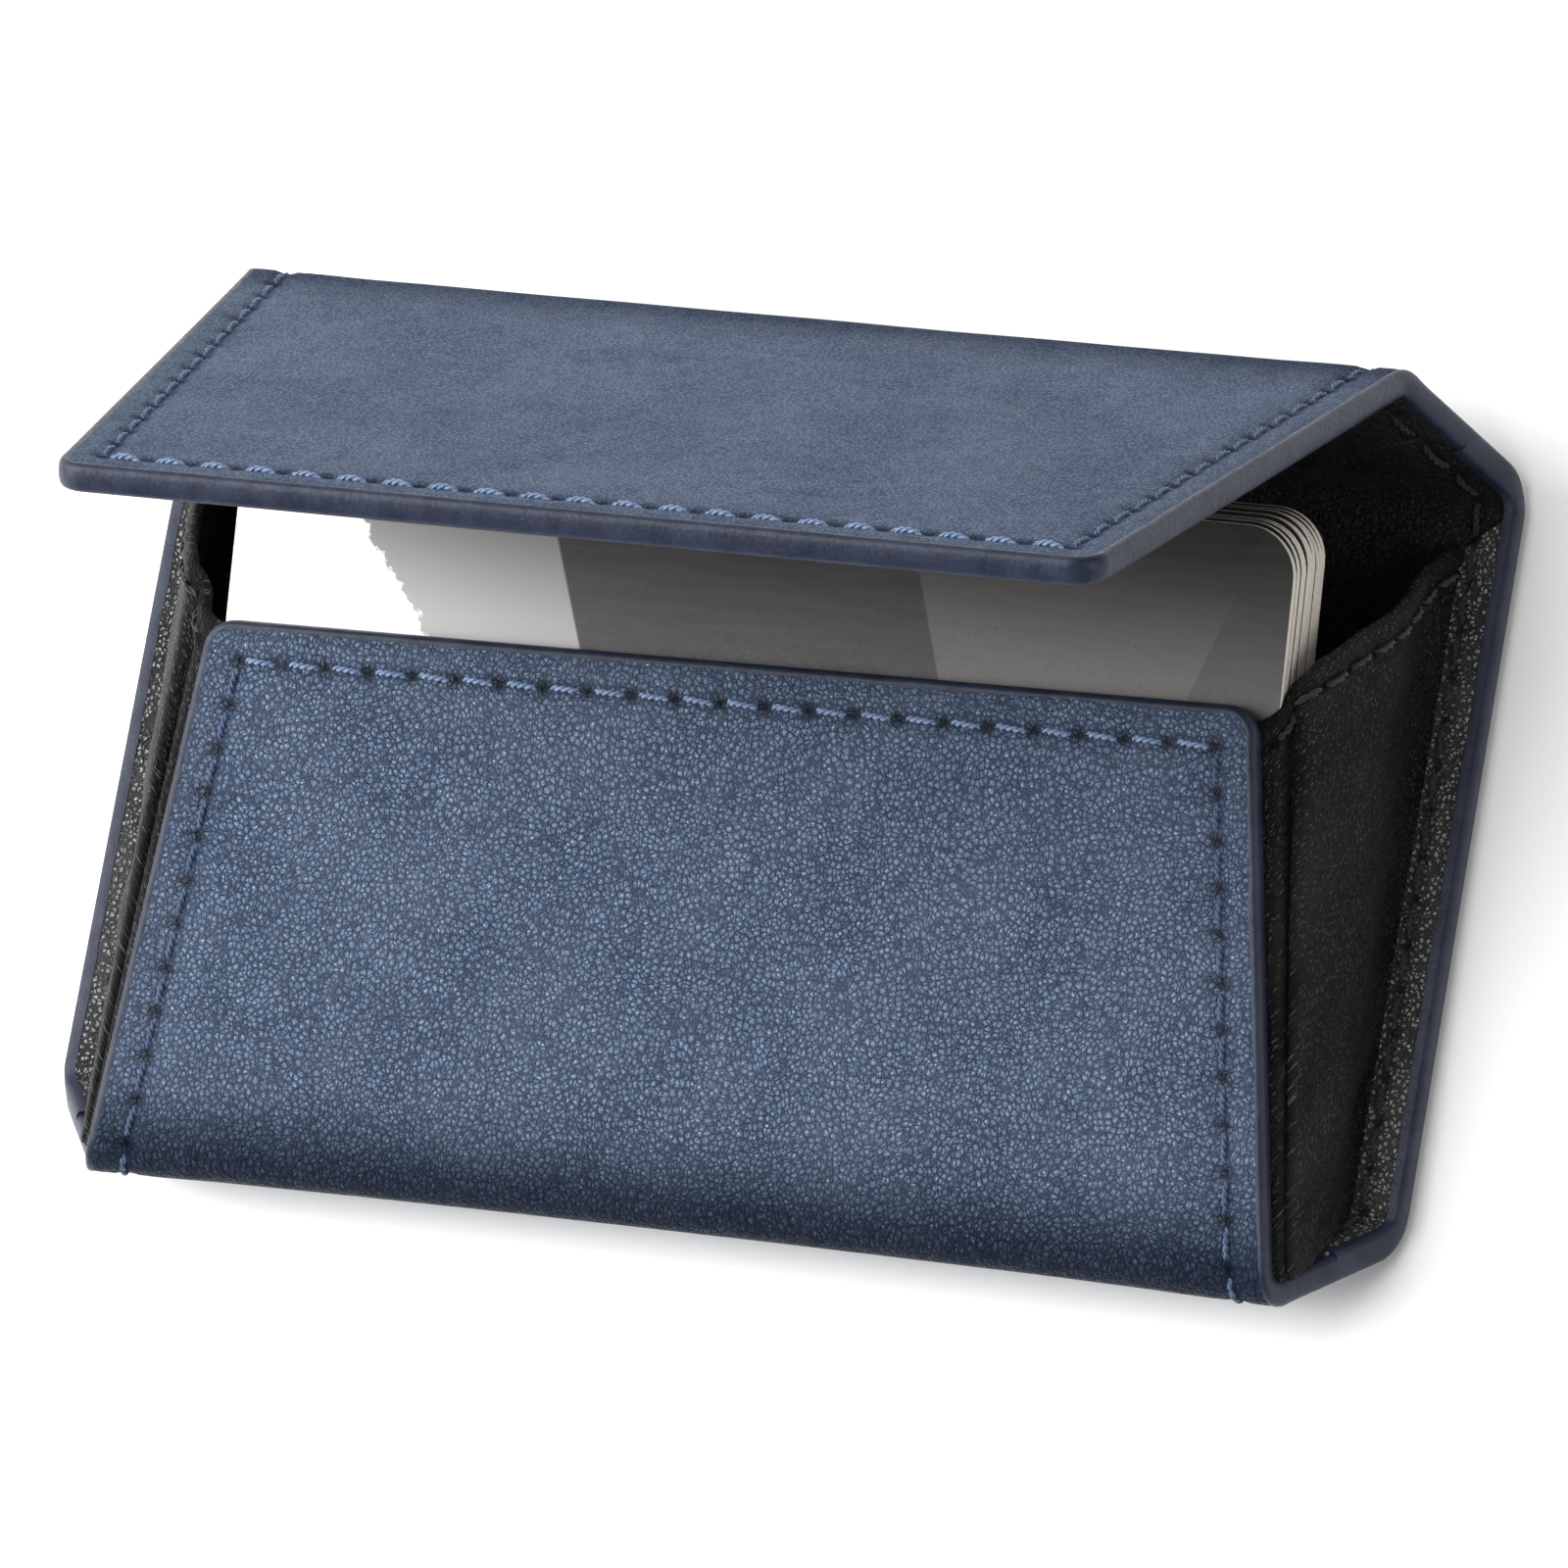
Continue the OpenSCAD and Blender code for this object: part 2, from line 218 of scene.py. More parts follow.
def bow(x, p):
    """The front bend is a little hollow along its length, as soft leather is."""
    share = np.clip(1 - (x / (BACK_HALF - STRIP_TAPER)) ** 2, 0, 1)
    return BOW_DEPTH * share * near(p - P_FRONT, BOW_REACH)


# ---- Mesh helpers ----

SHARP_ANGLE = 62        # an edge that turns more than this shows as a crisp one


def smooth(edge0, edge1, value):
    """0 up to edge0 and 1 from edge1, with a smooth rise between."""
    t = np.clip((value - edge0) / (edge1 - edge0), 0, 1)
    return t * t * (3 - 2 * t)


def wander(points, scale, seed):
    """Smooth noise from -1 to 1 for each row of points, which are in millimetres."""
    return np.array([noise.noise(Vector(q) * scale + Vector((seed, 2 * seed, 0))) for q in points])


def make_object(name, points, faces, material, flat, **masks):
    """A mesh object from points in metres. flat and masks become attributes for its material.

    A mask may cover only the first of the points. The others get 0.
    """
    mesh = bpy.data.meshes.new(name)
    mesh.from_pydata(points.tolist(), [], faces)
    layer = mesh.attributes.new("flat", "FLOAT_VECTOR", "POINT")
    layer.data.foreach_set("vector", np.asarray(flat, np.float32).ravel())
    for key, mask in masks.items():
        layer = mesh.attributes.new(key, "FLOAT", "POINT")
        mask = np.append(mask, np.zeros(len(points) - len(mask)))
        layer.data.foreach_set("value", mask.astype(np.float32))
    mesh.validate()
    mesh.polygons.foreach_set("use_smooth", [True] * len(mesh.polygons))
    mesh.set_sharp_from_angle(angle=math.radians(SHARP_ANGLE))
    mesh.update()
    made = bpy.data.objects.new(name, mesh)
    scene.collection.objects.link(made)
    mesh.materials.append(material)
    return made


def grid_faces(rows, columns, first=0, flip=False, wrap=False):
    """Quads of a grid of points numbered row by row. wrap closes each row on itself."""
    steps = columns if wrap else columns - 1
    i, j = np.meshgrid(np.arange(rows - 1) * columns, np.arange(steps), indexing="ij")
    after = (j + 1) % columns
    quads = np.stack([i + j, i + after, i + columns + after, i + columns + j], -1)
    quads = quads.reshape(-1, 4) + first
    return (quads[:, ::-1] if flip else quads).tolist()


def border(rows, columns):
    """Numbers of a grid's border points, once around from the first."""
    ring = list(range(columns)) + [r * columns + columns - 1 for r in range(1, rows)]
    ring += [(rows - 1) * columns + c for c in range(columns - 2, -1, -1)]
    return ring + [r * columns for r in range(rows - 2, 0, -1)]


def two_sided(rows, columns, flip):
    """Faces of a closed sheet: two grids of points, one after the other, and the walls between."""
    count = rows * columns
    faces = grid_faces(rows, columns, flip=flip) + grid_faces(rows, columns, count, flip=not flip)
    ring = border(rows, columns)
    for a, b in zip(ring, ring[1:] + ring[:1]):
        wall = [a, b, b + count, a + count]
        faces.append(wall if flip else wall[::-1])
    return faces


def graded(low, high, fine, coarse, low_band=0.0, high_band=0.0):
    """Numbers from low to high, fine within a band at each end and coarse between."""
    marks = [low]
    for stop, step in ((low + low_band, fine), (high - high_band, coarse), (high, fine)):
        if stop - marks[-1] > 1e-6:
            count = max(1, int(math.ceil((stop - marks[-1]) / step)))
            marks += np.linspace(marks[-1], stop, count + 1)[1:].tolist()
    return np.array(marks)


# ---- Seams ----

def both_sides(p0, p1):
    """Needle holes down each side between p0 and p1, as flat x and p."""
    p = np.linspace(p0, p1, max(1, round((p1 - p0) / STITCH_PITCH)) + 1)
    x = half_width(p) - STITCH_INSET / lean(p)
    return [np.stack([side * x, p], -1) for side in (-1, 1)]


def end_seam(p):
    """Needle holes along a free edge, at p."""
    reach = float(half_width(p) - STITCH_INSET / lean(p))
    count = round(2 * reach / STITCH_PITCH)
    return np.stack([np.linspace(-reach, reach, count + 1), np.full(count + 1, p)], -1)


def pressed(line, hole, groove, pit):
    """How deep a seam is pressed in. groove and pit are each a depth and a reach."""
    return groove[0] * near(line, groove[1]) + pit[0] * near(hole, pit[1])


FAR = 9.0               # a seam farther off than 2 mm counts as this far


def seam_distance(x, p, seams):
    """For each point, the distance to the nearest needle hole and to the nearest seam line."""
    hole, line = np.full(len(x), FAR), np.full(len(x), FAR)
    at = np.stack([x, p], -1)
    for seam in seams:
        low, high = seam.min(0) - 2, seam.max(0) + 2
        close = np.nonzero(np.all((at >= low) & (at <= high), axis=1))[0]
        if not len(close):
            continue
        here = at[close]
        gap = np.linalg.norm(here[:, None] - seam[None], axis=2).min(1)
        hole[close] = np.minimum(hole[close], gap)
        a, b = seam[:-1], seam[1:]
        d = b - a
        best = np.full(len(close), FAR)
        for k in range(len(a)):
            t = np.clip(((here - a[k]) @ d[k]) / (d[k] @ d[k]), 0, 1)
            best = np.minimum(best, np.linalg.norm(here - a[k] - t[:, None] * d[k], axis=1))
        line[close] = np.minimum(line[close], best)
    return hole, line


# ---- Leather skins ----

SKIN_INSET = 0.35       # a skin ends this far inside the outline, under the painted edge
SKIN_STEP = 0.34        # size of a skin's cells near its edges
SKIN_BAND = 7.0         # how far from an edge they stay that small
SKIN_GROOVE = (0.13, 0.40)      # depth and reach of the line pressed in by the thread
SKIN_PIT = (0.42, 0.40)         # and of a needle hole
BEND_REACH = 5.0        # how far from a bend's middle the leather is cracked and darker, partly painted shade
RIM_SWELL = 0.10        # the leather swells a little between the seam and the edge
INNER_SWELL = 0.06      # and on the far side of the seam
ROLL = 0.05             # slow unevenness of the surface


def skin(name, p0, p1, outer, seams, material, free=None):
    """One layer of leather between p0 and p1: a closed sheet with its seams pressed in.

    free is "low" or "high" where that end of the strip is a free edge with rounded corners.
    """
    p = graded(p0 + (SKIN_INSET if free == "low" else 0), p1 - (SKIN_INSET if free == "high" else 0),
               SKIN_STEP, SKIN_STEP, SKIN_BAND, SKIN_BAND)
    edge_in = graded(SKIN_INSET, SKIN_BAND, SKIN_STEP * 0.85, 1)
    middle = np.linspace(-1, 1, 200 if free else 60)[1:-1]
    lines = []
    for value in p:
        reach = float(half_width(value))
        inset = edge_in / float(lean(value))
        inner = reach - SKIN_BAND / float(lean(value))
        lines.append(np.concatenate([-(reach - inset), middle * inner, (reach - inset)[::-1]]))
    x = np.array(lines)
    rows, columns = x.shape
    x = x.ravel()
    pp = np.repeat(p, columns)
    if free:
        end = p0 if free == "low" else p1
        inward = 1 if free == "low" else -1
        corner = half_width(end + inward * CORNER_R) - CORNER_R
        dx = np.clip(np.abs(x) - corner, 0, None)
        dp = np.clip(CORNER_R - inward * (pp - end), 0, None)
        reach = np.hypot(dx, dp)
        limit = CORNER_R - SKIN_INSET
        shrink = np.where((reach > limit) & (dx > 0) & (dp > 0), limit / np.maximum(reach, 1e-6), 1)
        x = np.sign(x) * (np.minimum(np.abs(x), corner) + dx * shrink)
        pp = np.where(dp > 0, end + inward * (CORNER_R - dp * shrink), pp)
    edge = (half_width(pp) - np.abs(x)) * lean(pp)
    if free:
        edge = np.minimum(edge, np.abs(pp - end))
    hole, line = seam_distance(x, pp, seams)
    past_seam = edge - STITCH_INSET
    swell = RIM_SWELL * np.sin(math.pi * np.clip(edge / STITCH_INSET, 0, 1))
    swell += INNER_SWELL * smooth(0.2, 1.4, past_seam) * (1 - smooth(2.5, 7.0, past_seam))
    roll = ROLL * wander(np.stack([x, pp, pp * 0], -1), 0.09, 3.0 if outer else 8.0)
    rise = swell + roll - pressed(line, hole, SKIN_GROOVE, SKIN_PIT)
    side = -1 if outer else 1
    w = side * (HALF_T + rise) + bow(x, pp)
    count = rows * columns
    ring = border(rows, columns)
    inner_w = side * (HALF_T - (COVER_T if outer else LINING_T)) + bow(x[ring], pp[ring])
    number = {v: count + k for k, v in enumerate(ring)}
    faces = grid_faces(rows, columns, flip=not outer)
    walls = [[b, a, number[a], number[b]] for a, b in zip(ring, ring[1:] + ring[:1])]
    # the hidden face has points on its border only, so each row of it is one long face
    strips = []
    for r in range(rows - 1):
        left, right = r * columns, r * columns + columns - 1
        low = range(left, right + 1) if r == 0 else (left, right)
        left, right = left + columns, right + columns
        high = range(right, left - 1, -1) if r == rows - 2 else (right, left)
        strips.append([number[c] for c in (*low, *high)][::-1])
    if not outer:
        walls = [f[::-1] for f in walls]
        strips = [f[::-1] for f in strips]
    points = np.concatenate([fold(x, pp, w), fold(x[ring], pp[ring], inner_w)])
    flat = np.concatenate([np.stack([x, pp, w], -1), np.stack([x[ring], pp[ring], inner_w], -1)])
    # the material paints shade into the seam lines and needle holes by the groove and pit masks, and
    # darkens the bends by the bend mask, partly as painted shade
    bend = np.max([near(pp - middle_p, BEND_REACH) for middle_p in BENDS], axis=0)
    return make_object(name, points, faces + walls + strips, material, flat, bend=bend,
                       pit=near(hole, 0.62), groove=near(line, 0.6), rim=1 - smooth(0.6, 2.2, edge))


# ---- Painted edges ----

BEAD_OUT_LAP = 0.92     # how far the paint laps the outer leather
BEAD_IN_LAP = 1.2       # and the lining
BEAD_SWELL = 0.11       # how far it stands off them
NOSE_INSET = 0.55       # how far in the round of the edge ends
BEAD_STEP = 0.45        # length of its cells along the edge


def bead_profile(in_level):
    """Inset and w of the painted edge's section, a closed loop that starts on the outer face."""
    out_level = HALF_T + BEAD_SWELL
    nose = []
    for k in range(13):
        a = math.radians(-90 + 15 * k)
        level = in_level if a > 0 else out_level
        inset = NOSE_INSET * (1 - abs(math.cos(a)) ** 0.8)
        nose.append((inset, level * math.copysign(abs(math.sin(a)) ** 0.75, a)))
    outer = [(BEAD_OUT_LAP, -HALF_T + 0.1), (BEAD_OUT_LAP + 0.04, -HALF_T - 0.01)]
    inner = [(BEAD_IN_LAP, in_level - 0.05), (BEAD_IN_LAP, in_level - 0.2), (BEAD_IN_LAP - 0.3, 0.3)]
    return outer + nose + inner + [(0.7, -0.3)]


def outline(p0, p1, free=None):
    """The strip's outline between p0 and p1 as flat (x, p) lines, right side first."""
    p = np.linspace(p0, p1, int((p1 - p0) / BEAD_STEP) + 1)
    right = np.stack([half_width(p), p], -1)
    if not free:
        return [right, right * [-1, 1]]
    end, inward = (p0, 1) if free == "low" else (p1, -1)
    corner = float(half_width(end + inward * CORNER_R)) - CORNER_R
    keep = inward * (p - end) > CORNER_R
    side = right[keep] if free == "high" else right[keep][::-1]
    turn = [(corner + CORNER_R * math.cos(a), end + inward * CORNER_R * (1 - math.sin(a)))
            for a in np.linspace(0, math.pi / 2, 12)]
    x = np.linspace(corner, -corner, int(2 * corner / BEAD_STEP))[1:-1]
    across = np.stack([x, np.full_like(x, end)], -1)
    half = np.concatenate([side, turn])
    return [np.concatenate([half, across, (half * [-1, 1])[::-1]])]


def edge_paint(name, p0, p1, material, free, in_level):
    """The painted edge of one stretch: its section swept along the outline."""
    points, faces, flat, first = [], [], [], 0
    profile = np.array(bead_profile(in_level))
    size = len(profile)
    for line in outline(p0, p1, free):
        tangent = np.gradient(line, axis=0)
        tangent /= np.linalg.norm(tangent, axis=1)[:, None]
        normal = np.stack([-tangent[:, 1], tangent[:, 0]], -1)
        centre = np.array([0.0, (p0 + p1) / 2 if free else P_BACK_MID])
        normal *= np.sign(((centre - line) * normal).sum(1))[:, None]
        wobble = wander(np.column_stack([line, line[:, 0] * 0]), 0.35, 5.0)[:, None]
        lap = profile[None, :, 0] * (1 + 0.07 * wobble)
        place = line[:, None, :] + normal[:, None, :] * lap[..., None]
        w = np.broadcast_to(profile[None, :, 1], lap.shape) * (1 + 0.015 * wobble)
        x, p = place[..., 0].ravel(), place[..., 1].ravel()
        w = w.ravel() + bow(x, p)
        swept = fold(x, p, w)
        last = first + len(swept) - size
        shell = grid_faces(len(line), size, first, wrap=True)
        shell += [list(range(first, first + size))[::-1], list(range(last, last + size))]
        a, b, c = swept[0], swept[1], swept[size]
        if np.dot(np.cross(b - a, c - a), a - swept[:size].mean(0)) < 0:
            shell = [f[::-1] for f in shell]
        points.append(swept)
        flat.append(np.stack([x, p, w], -1))
        faces += shell
        first = last + size
    return make_object(name, np.concatenate(points), faces, material, np.concatenate(flat))


# ---- Thread ----

THREAD_SINK = 0.45      # how deep a stitch's ends go into the leather
STRAND_SIDES = 6        # points around a strand


def twisted(core, across, out, turn, spread, radius):
    """Points of one strand that winds about core: a ring of them for each of its points."""
    core = core + across * (np.cos(turn) * spread)[:, None] + out * (np.sin(turn) * spread)[:, None]
    ring = np.linspace(0, 2 * math.pi, STRAND_SIDES, endpoint=False)[None, :, None]
    loop = np.cos(ring) * across[:, None] + np.sin(ring) * out[:, None]
    return (core[:, None] + radius * loop).reshape(-1, 3)


def thread(name, seams, material, outer, level=HALF_T, slant=0.06, lift=0.10):
    """Twisted two-strand thread, one arch from each needle hole to the next."""
    t = np.linspace(0, 1, 17)
    arch = np.sin(math.pi * t) ** 0.45
    up = np.tile((0.0, 0.0, 1.0), (len(t), 1))
    points, faces, first = [], [], 0
    random = np.random.default_rng(11)
    for seam in seams:
        for a, b in zip(seam[:-1], seam[1:]):
            along = (b - a) / np.linalg.norm(b - a)
            across = np.array([-along[1], along[0], 0.0])
            tilt = slant * (1 + 0.25 * random.standard_normal())
            height = lift * (1 + 0.15 * random.standard_normal())
            line = a + np.outer(0.14 + 0.72 * t, b - a) + np.outer((t - 0.5) * 2 * tilt, across[:2])
            w = level - THREAD_SINK + (THREAD_SINK + height) * arch - SKIN_GROOVE[0] * 0.6
            spin = random.random() * 2 * math.pi
            for strand in range(2):
                turn = 2 * math.pi * 2.2 * t + spin + math.pi * strand
                points.append(twisted(np.column_stack([line, w]), np.tile(across, (len(t), 1)), up,
                                      turn, THREAD_R * 0.8, THREAD_R))
                last = first + (len(t) - 1) * STRAND_SIDES
                faces += grid_faces(len(t), STRAND_SIDES, first, wrap=True, flip=not outer)
                caps = [list(range(first, first + STRAND_SIDES)),
                        list(range(last, last + STRAND_SIDES))[::-1]]
                faces += caps if not outer else [c[::-1] for c in caps]
                first = last + STRAND_SIDES
    x, p, w = np.concatenate(points).T
    w = (-w if outer else w) + bow(x, p)
    return make_object(name, fold(x, p, w), faces, material, np.stack([x, p, w], -1))


# ---- Materials ----

class Paint:
    """A short way to build a material's nodes."""

    def __init__(self, name, roughness=0.5, **sockets):
        self.material = bpy.data.materials.new(name)
        self.material.use_nodes = True
        self.tree = self.material.node_tree
        self.shader = self.tree.nodes["Principled BSDF"]
        self.shader.inputs["Roughness"].default_value = roughness
        for key, value in sockets.items():
            self.shader.inputs[key.replace("_", " ")].default_value = value

    def node(self, kind, settings=None, **inputs):
        made = self.tree.nodes.new(kind)
        for key, value in (settings or {}).items():
            setattr(made, key, value)
        for key, value in inputs.items():
            self.plug(made, key.replace("_", " "), value)
        return made

    def plug(self, node, key, value):
        socket = node.inputs[int(key[1:])] if key[0] == "#" else node.inputs[key]
        if isinstance(value, bpy.types.NodeSocket):
            self.tree.links.new(value, socket)
        else:
            socket.default_value = value

    def flat(self, scale=None):
        """The flat coordinates in millimetres, scaled if asked."""
        place = self.node("ShaderNodeAttribute", {"attribute_name": "flat"}).outputs["Vector"]
        return self.vector("MULTIPLY", place, scale) if scale else place

    def place(self):
        """The object's own coordinates in metres."""
        return self.node("ShaderNodeTexCoord").outputs["Object"]

    def mask(self, name):
        return self.node("ShaderNodeAttribute", {"attribute_name": name}).outputs["Fac"]

    def vector(self, operation, a, b):
        made = self.node("ShaderNodeVectorMath", {"operation": operation})
        self.plug(made, "#0", a)
        self.plug(made, "#1", b)
        return made.outputs["Vector"]

    def math(self, operation, a, b, c=0.0):
        made = self.node("ShaderNodeMath", {"operation": operation})
        for key, value in zip(("#0", "#1", "#2"), (a, b, c)):
            self.plug(made, key, value)
        return made.outputs[0]

    def times(self, a, b):
        return self.math("MULTIPLY", a, b)

    def scaled(self, a, b, c):      # a times b, plus c
        return self.math("MULTIPLY_ADD", a, b, c)

    def span(self, value, low, high, to_low=0.0, to_high=1.0):
        """value from low to high as a smooth step from to_low to to_high."""
        made = self.node("ShaderNodeMapRange", {"interpolation_type": "SMOOTHSTEP"})
        for key, number in zip(("Value", "From Min", "From Max", "To Min", "To Max"),
                               (value, low, high, to_low, to_high)):
            self.plug(made, key, number)
        return made.outputs[0]

    def noise(self, place, scale, detail=3.0, rough=0.55):
        return self.node("ShaderNodeTexNoise", Vector=place, Scale=scale, Detail=detail,
                         Roughness=rough).outputs["Fac"]

    def warp(self, place, scale, amount):
        """place, shifted by up to about half the amount."""
        made = self.node("ShaderNodeTexNoise", Vector=place, Scale=scale, Detail=2.0)
        shift = self.vector("SUBTRACT", made.outputs["Color"], (0.5, 0.5, 0.5))
        return self.vector("ADD", place, self.vector("MULTIPLY", shift, (amount,) * 3))

    def cells(self, place, scale, feature="DISTANCE_TO_EDGE"):
        made = self.node("ShaderNodeTexVoronoi", {"feature": feature}, Vector=place, Scale=scale)
        return made.outputs["Distance"]

    def mix(self, share, a, b):
        """Colour a, with a share of b over it."""
        made = self.node("ShaderNodeMix", {"data_type": "RGBA"})
        self.plug(made, "#0", share)
        for key, colour in (("#6", a), ("#7", b)):
            self.plug(made, key, colour if isinstance(colour, bpy.types.NodeSocket) else (*colour, 1))
        return made.outputs[2]

    def finish(self, colour, roughness=None, height=None, depth=0.0):
        """Plugs in the colour, the roughness and a bump of that depth in metres."""
        self.plug(self.shader, "Base Color", colour)
        if roughness is not None:
            self.plug(self.shader, "Roughness", roughness)
        if height is not None:
            bump = self.node("ShaderNodeBump", Strength=1.0, Distance=depth, Height=height)
            self.tree.links.new(bump.outputs["Normal"], self.shader.inputs["Normal"])
        return self.material


def leather(name, base, dark, light, cell, depth, contrast, rough, specular, bend_wear_and_shade=0.0,
            cover=0.0):
    """Grained leather: rounded pebbles with lighter tops, partly a rubbed two-tone finish and partly
    painted highlight, and dark creases between them, partly dye and partly painted shade; fine
    pores, mottled dye, pressed seams with painted shade in their lines and needle holes, and
    cracked bends, darkened partly by wear and partly by painted shade.

    cell is a pebble's size in millimetres, depth the grain's in metres, contrast the share of the
    light colour on the tops, which is partly painted highlight, and cover lifts the whole towards
    them.
    """
    m = Paint(name, rough, Specular_IOR_Level=specular)
    flat = m.flat((1.0, 0.9, 0.0))
    moved = m.warp(m.warp(flat, 0.12, 2.0), 1.1 / cell, 0.35 * cell)
    crease = m.span(m.cells(moved, 1.0 / cell), 0.0, 0.22)
    dome = m.span(m.cells(moved, 1.0 / cell, "F1"), 0.80, 0.10)
    fine = m.span(m.cells(m.warp(flat, 2.0 / cell, 0.3 * cell), 2.0 / cell), 0.0, 0.22)
    pores = m.noise(flat, 2.6 / cell, 4.0, 0.70)
    patch = m.span(m.noise(flat, 0.10, 5.0, 0.62), 0.34, 0.66)
    blotch = m.span(m.noise(flat, 0.55, 5.0, 0.62), 0.34, 0.66)
    grain = m.scaled(crease, 0.36, m.scaled(dome, 0.40, m.times(fine, 0.24)))
    where = m.scaled(blotch, 0.25, 0.75)
    height = m.scaled(grain, where, m.times(pores, 0.45))
    tone = m.scaled(grain, 0.55, m.scaled(pores, 0.95, cover))
    # painted shade and highlight, in part: the creases take the dark colour and the pebble tops the
    # light one, partly as a two-tone finish
    colour = m.mix(m.span(tone, 0.54, 0.92), dark, base)
    colour = m.mix(m.times(m.span(tone, 0.92, 1.10), contrast), colour, light)
    colour = m.mix(m.times(blotch, 0.10), colour, dark)
    colour = m.mix(m.times(patch, 0.06), colour, light)
    # the bends are cracked and darkened, partly as wear and partly as painted shade
    if bend_wear_and_shade:
        crack = m.cells(m.warp(m.flat((1.0, 1.7, 0.0)), 0.8, 1.0), 0.75 / cell)
        share = m.times(m.mask("bend"), m.span(crack, 0.0, 0.16, 1.0, 0.82))
        colour = m.mix(m.times(share, bend_wear_and_shade), colour, tuple(c * 0.30 for c in dark))
        sheen = m.scaled(m.mask("bend"), -0.85 * specular, specular)
        m.plug(m.shader, "Specular IOR Level", sheen)
    # painted shade: the pressed seam lines darken and the needle holes go almost black; the rim
    # beside the painted edge is darker too
    for mask, share, shade in (("groove", 0.55, 1.0), ("pit", 0.97, 0.10), ("rim", 0.30, 1.0)):
        colour = m.mix(m.times(m.mask(mask), share), colour, tuple(c * shade for c in dark))
    shine = m.scaled(blotch, 0.08, m.scaled(grain, -0.16, rough + 0.09))
    return m.finish(colour, shine, height, depth)


def paint_material():
    m = Paint("edge_paint", 0.42, Specular_IOR_Level=0.24)
    flat = m.flat()
    cloud = m.noise(flat, 0.35, 4.0)
    fine = m.noise(flat, 3.0, 3.0)
    colour = m.mix(m.span(cloud, 0.35, 0.65), (0.010, 0.014, 0.030), (0.018, 0.024, 0.046))
    colour = m.mix(m.span(fine, 0.60, 0.78, 0.0, 0.5), colour, (0.036, 0.044, 0.074))
    height = m.math("ADD", m.times(cloud, 0.7), m.times(fine, 0.3))
    return m.finish(colour, m.span(fine, 0.3, 0.7, 0.36, 0.50), height, 0.00012)


def thread_material(name, dark, light):
    m = Paint(name, 0.6, Specular_IOR_Level=0.35, Sheen_Weight=0.25, Sheen_Roughness=0.4)
    flat = m.flat()
    fibre = m.noise(flat, 9.0, 3.0)
    long = m.noise(flat, 0.8, 2.0)
    colour = m.mix(m.span(fibre, 0.3, 0.7), dark, light)
    colour = m.mix(m.span(long, 0.35, 0.7, 0.0, 0.4), colour, dark)
    return m.finish(colour, m.span(fibre, 0.2, 0.8, 0.5, 0.75), fibre, 0.00004)


def card_face_material():
    """A generic print: slanting white, grey and black fields, the white one with a ragged border, and
    painted shadow of the flap darkening them towards the top.
    """
    m = Paint("card_print", 0.5, Specular_IOR_Level=0.25)
    place = m.flat()
    parts = m.node("ShaderNodeSeparateXYZ", Vector=place)
    x, v = parts.outputs["X"], parts.outputs["Y"]

    def past(lean_by, at, soft=0.12):
        """1 to the right of a slanting line, 0 to its left."""
        return m.span(m.scaled(v, lean_by, x), at - soft, at + soft)

    brushed = m.scaled(m.noise(place, 0.42, 5.0, 0.62), 6.0, -3.0)
    ragged = m.math("ADD", m.scaled(v, 0.764, x), brushed)
    speck = m.noise(place, 3.4, 6.0, 0.75)
    wash = m.noise(m.vector("MULTIPLY", place, (0.12, 1.4, 1)), 0.8, 4.0, 0.6)
    # painted shadow of the flap: each field darkens towards the card's top
    flap_shadow = m.span(v, 37.0, 53.0)
    grey = m.mix(flap_shadow, (0.40, 0.396, 0.392), (0.110, 0.109, 0.109))
    dark = m.mix(flap_shadow, (0.052, 0.050, 0.052), (0.006, 0.0055, 0.006))
    warm = m.mix(flap_shadow, (0.148, 0.139, 0.133), (0.022, 0.020, 0.019))
    far = m.mix(flap_shadow, (0.090, 0.089, 0.085), (0.026, 0.026, 0.024))
    in_black = past(0.33, -0.4)
    tone = m.mix(m.span(ragged, 4.0, 4.5), (0.92, 0.92, 0.915), grey)
    tone = m.mix(in_black, tone, dark)
    tone = m.mix(past(0.30, 27.6), tone, warm)
    tone = m.mix(past(-0.369, 20.5), tone, far)
    tone = m.mix(m.times(in_black, m.span(speck, 0.50, 0.72, 0.0, 0.40)), tone, (0.02, 0.02, 0.02))
    tone = m.mix(m.times(in_black, m.span(wash, 0.35, 0.65, 0.0, 0.03)), tone, (0.3, 0.29, 0.28))
    fibre = m.noise(place, 5.0, 3.0)
    return m.finish(tone, m.span(fibre, 0.3, 0.7, 0.36, 0.50), fibre, 0.000006)


def paper_material():
    m = Paint("card_edge", 0.75, Specular_IOR_Level=0.2)
    fibre = m.noise(m.flat((2.0, 2.0, 14.0)), 1.0, 5.0, 0.7)
    colour = m.mix(m.span(fibre, 0.3, 0.7), (0.50, 0.455, 0.40), (0.72, 0.68, 0.62))
    return m.finish(colour, m.span(fibre, 0.3, 0.7, 0.65, 0.85), fibre, 0.00003)


def board_material():
    m = Paint("stiffener_board", 0.85, Specular_IOR_Level=0.15)
    place = m.place()
    fibre = m.noise(m.vector("MULTIPLY", place, (900, 5000, 900)), 1.0, 4.0, 0.7)
    fleck = m.noise(place, 2500.0, 2.0)
    colour = m.mix(m.span(fibre, 0.3, 0.7), (0.20, 0.16, 0.12), (0.33, 0.28, 0.22))
    colour = m.mix(m.span(fleck, 0.62, 0.7, 0.0, 0.5), colour, (0.12, 0.10, 0.08))
    return m.finish(colour, m.span(fibre, 0.3, 0.7, 0.75, 0.95), fibre, 0.00004)


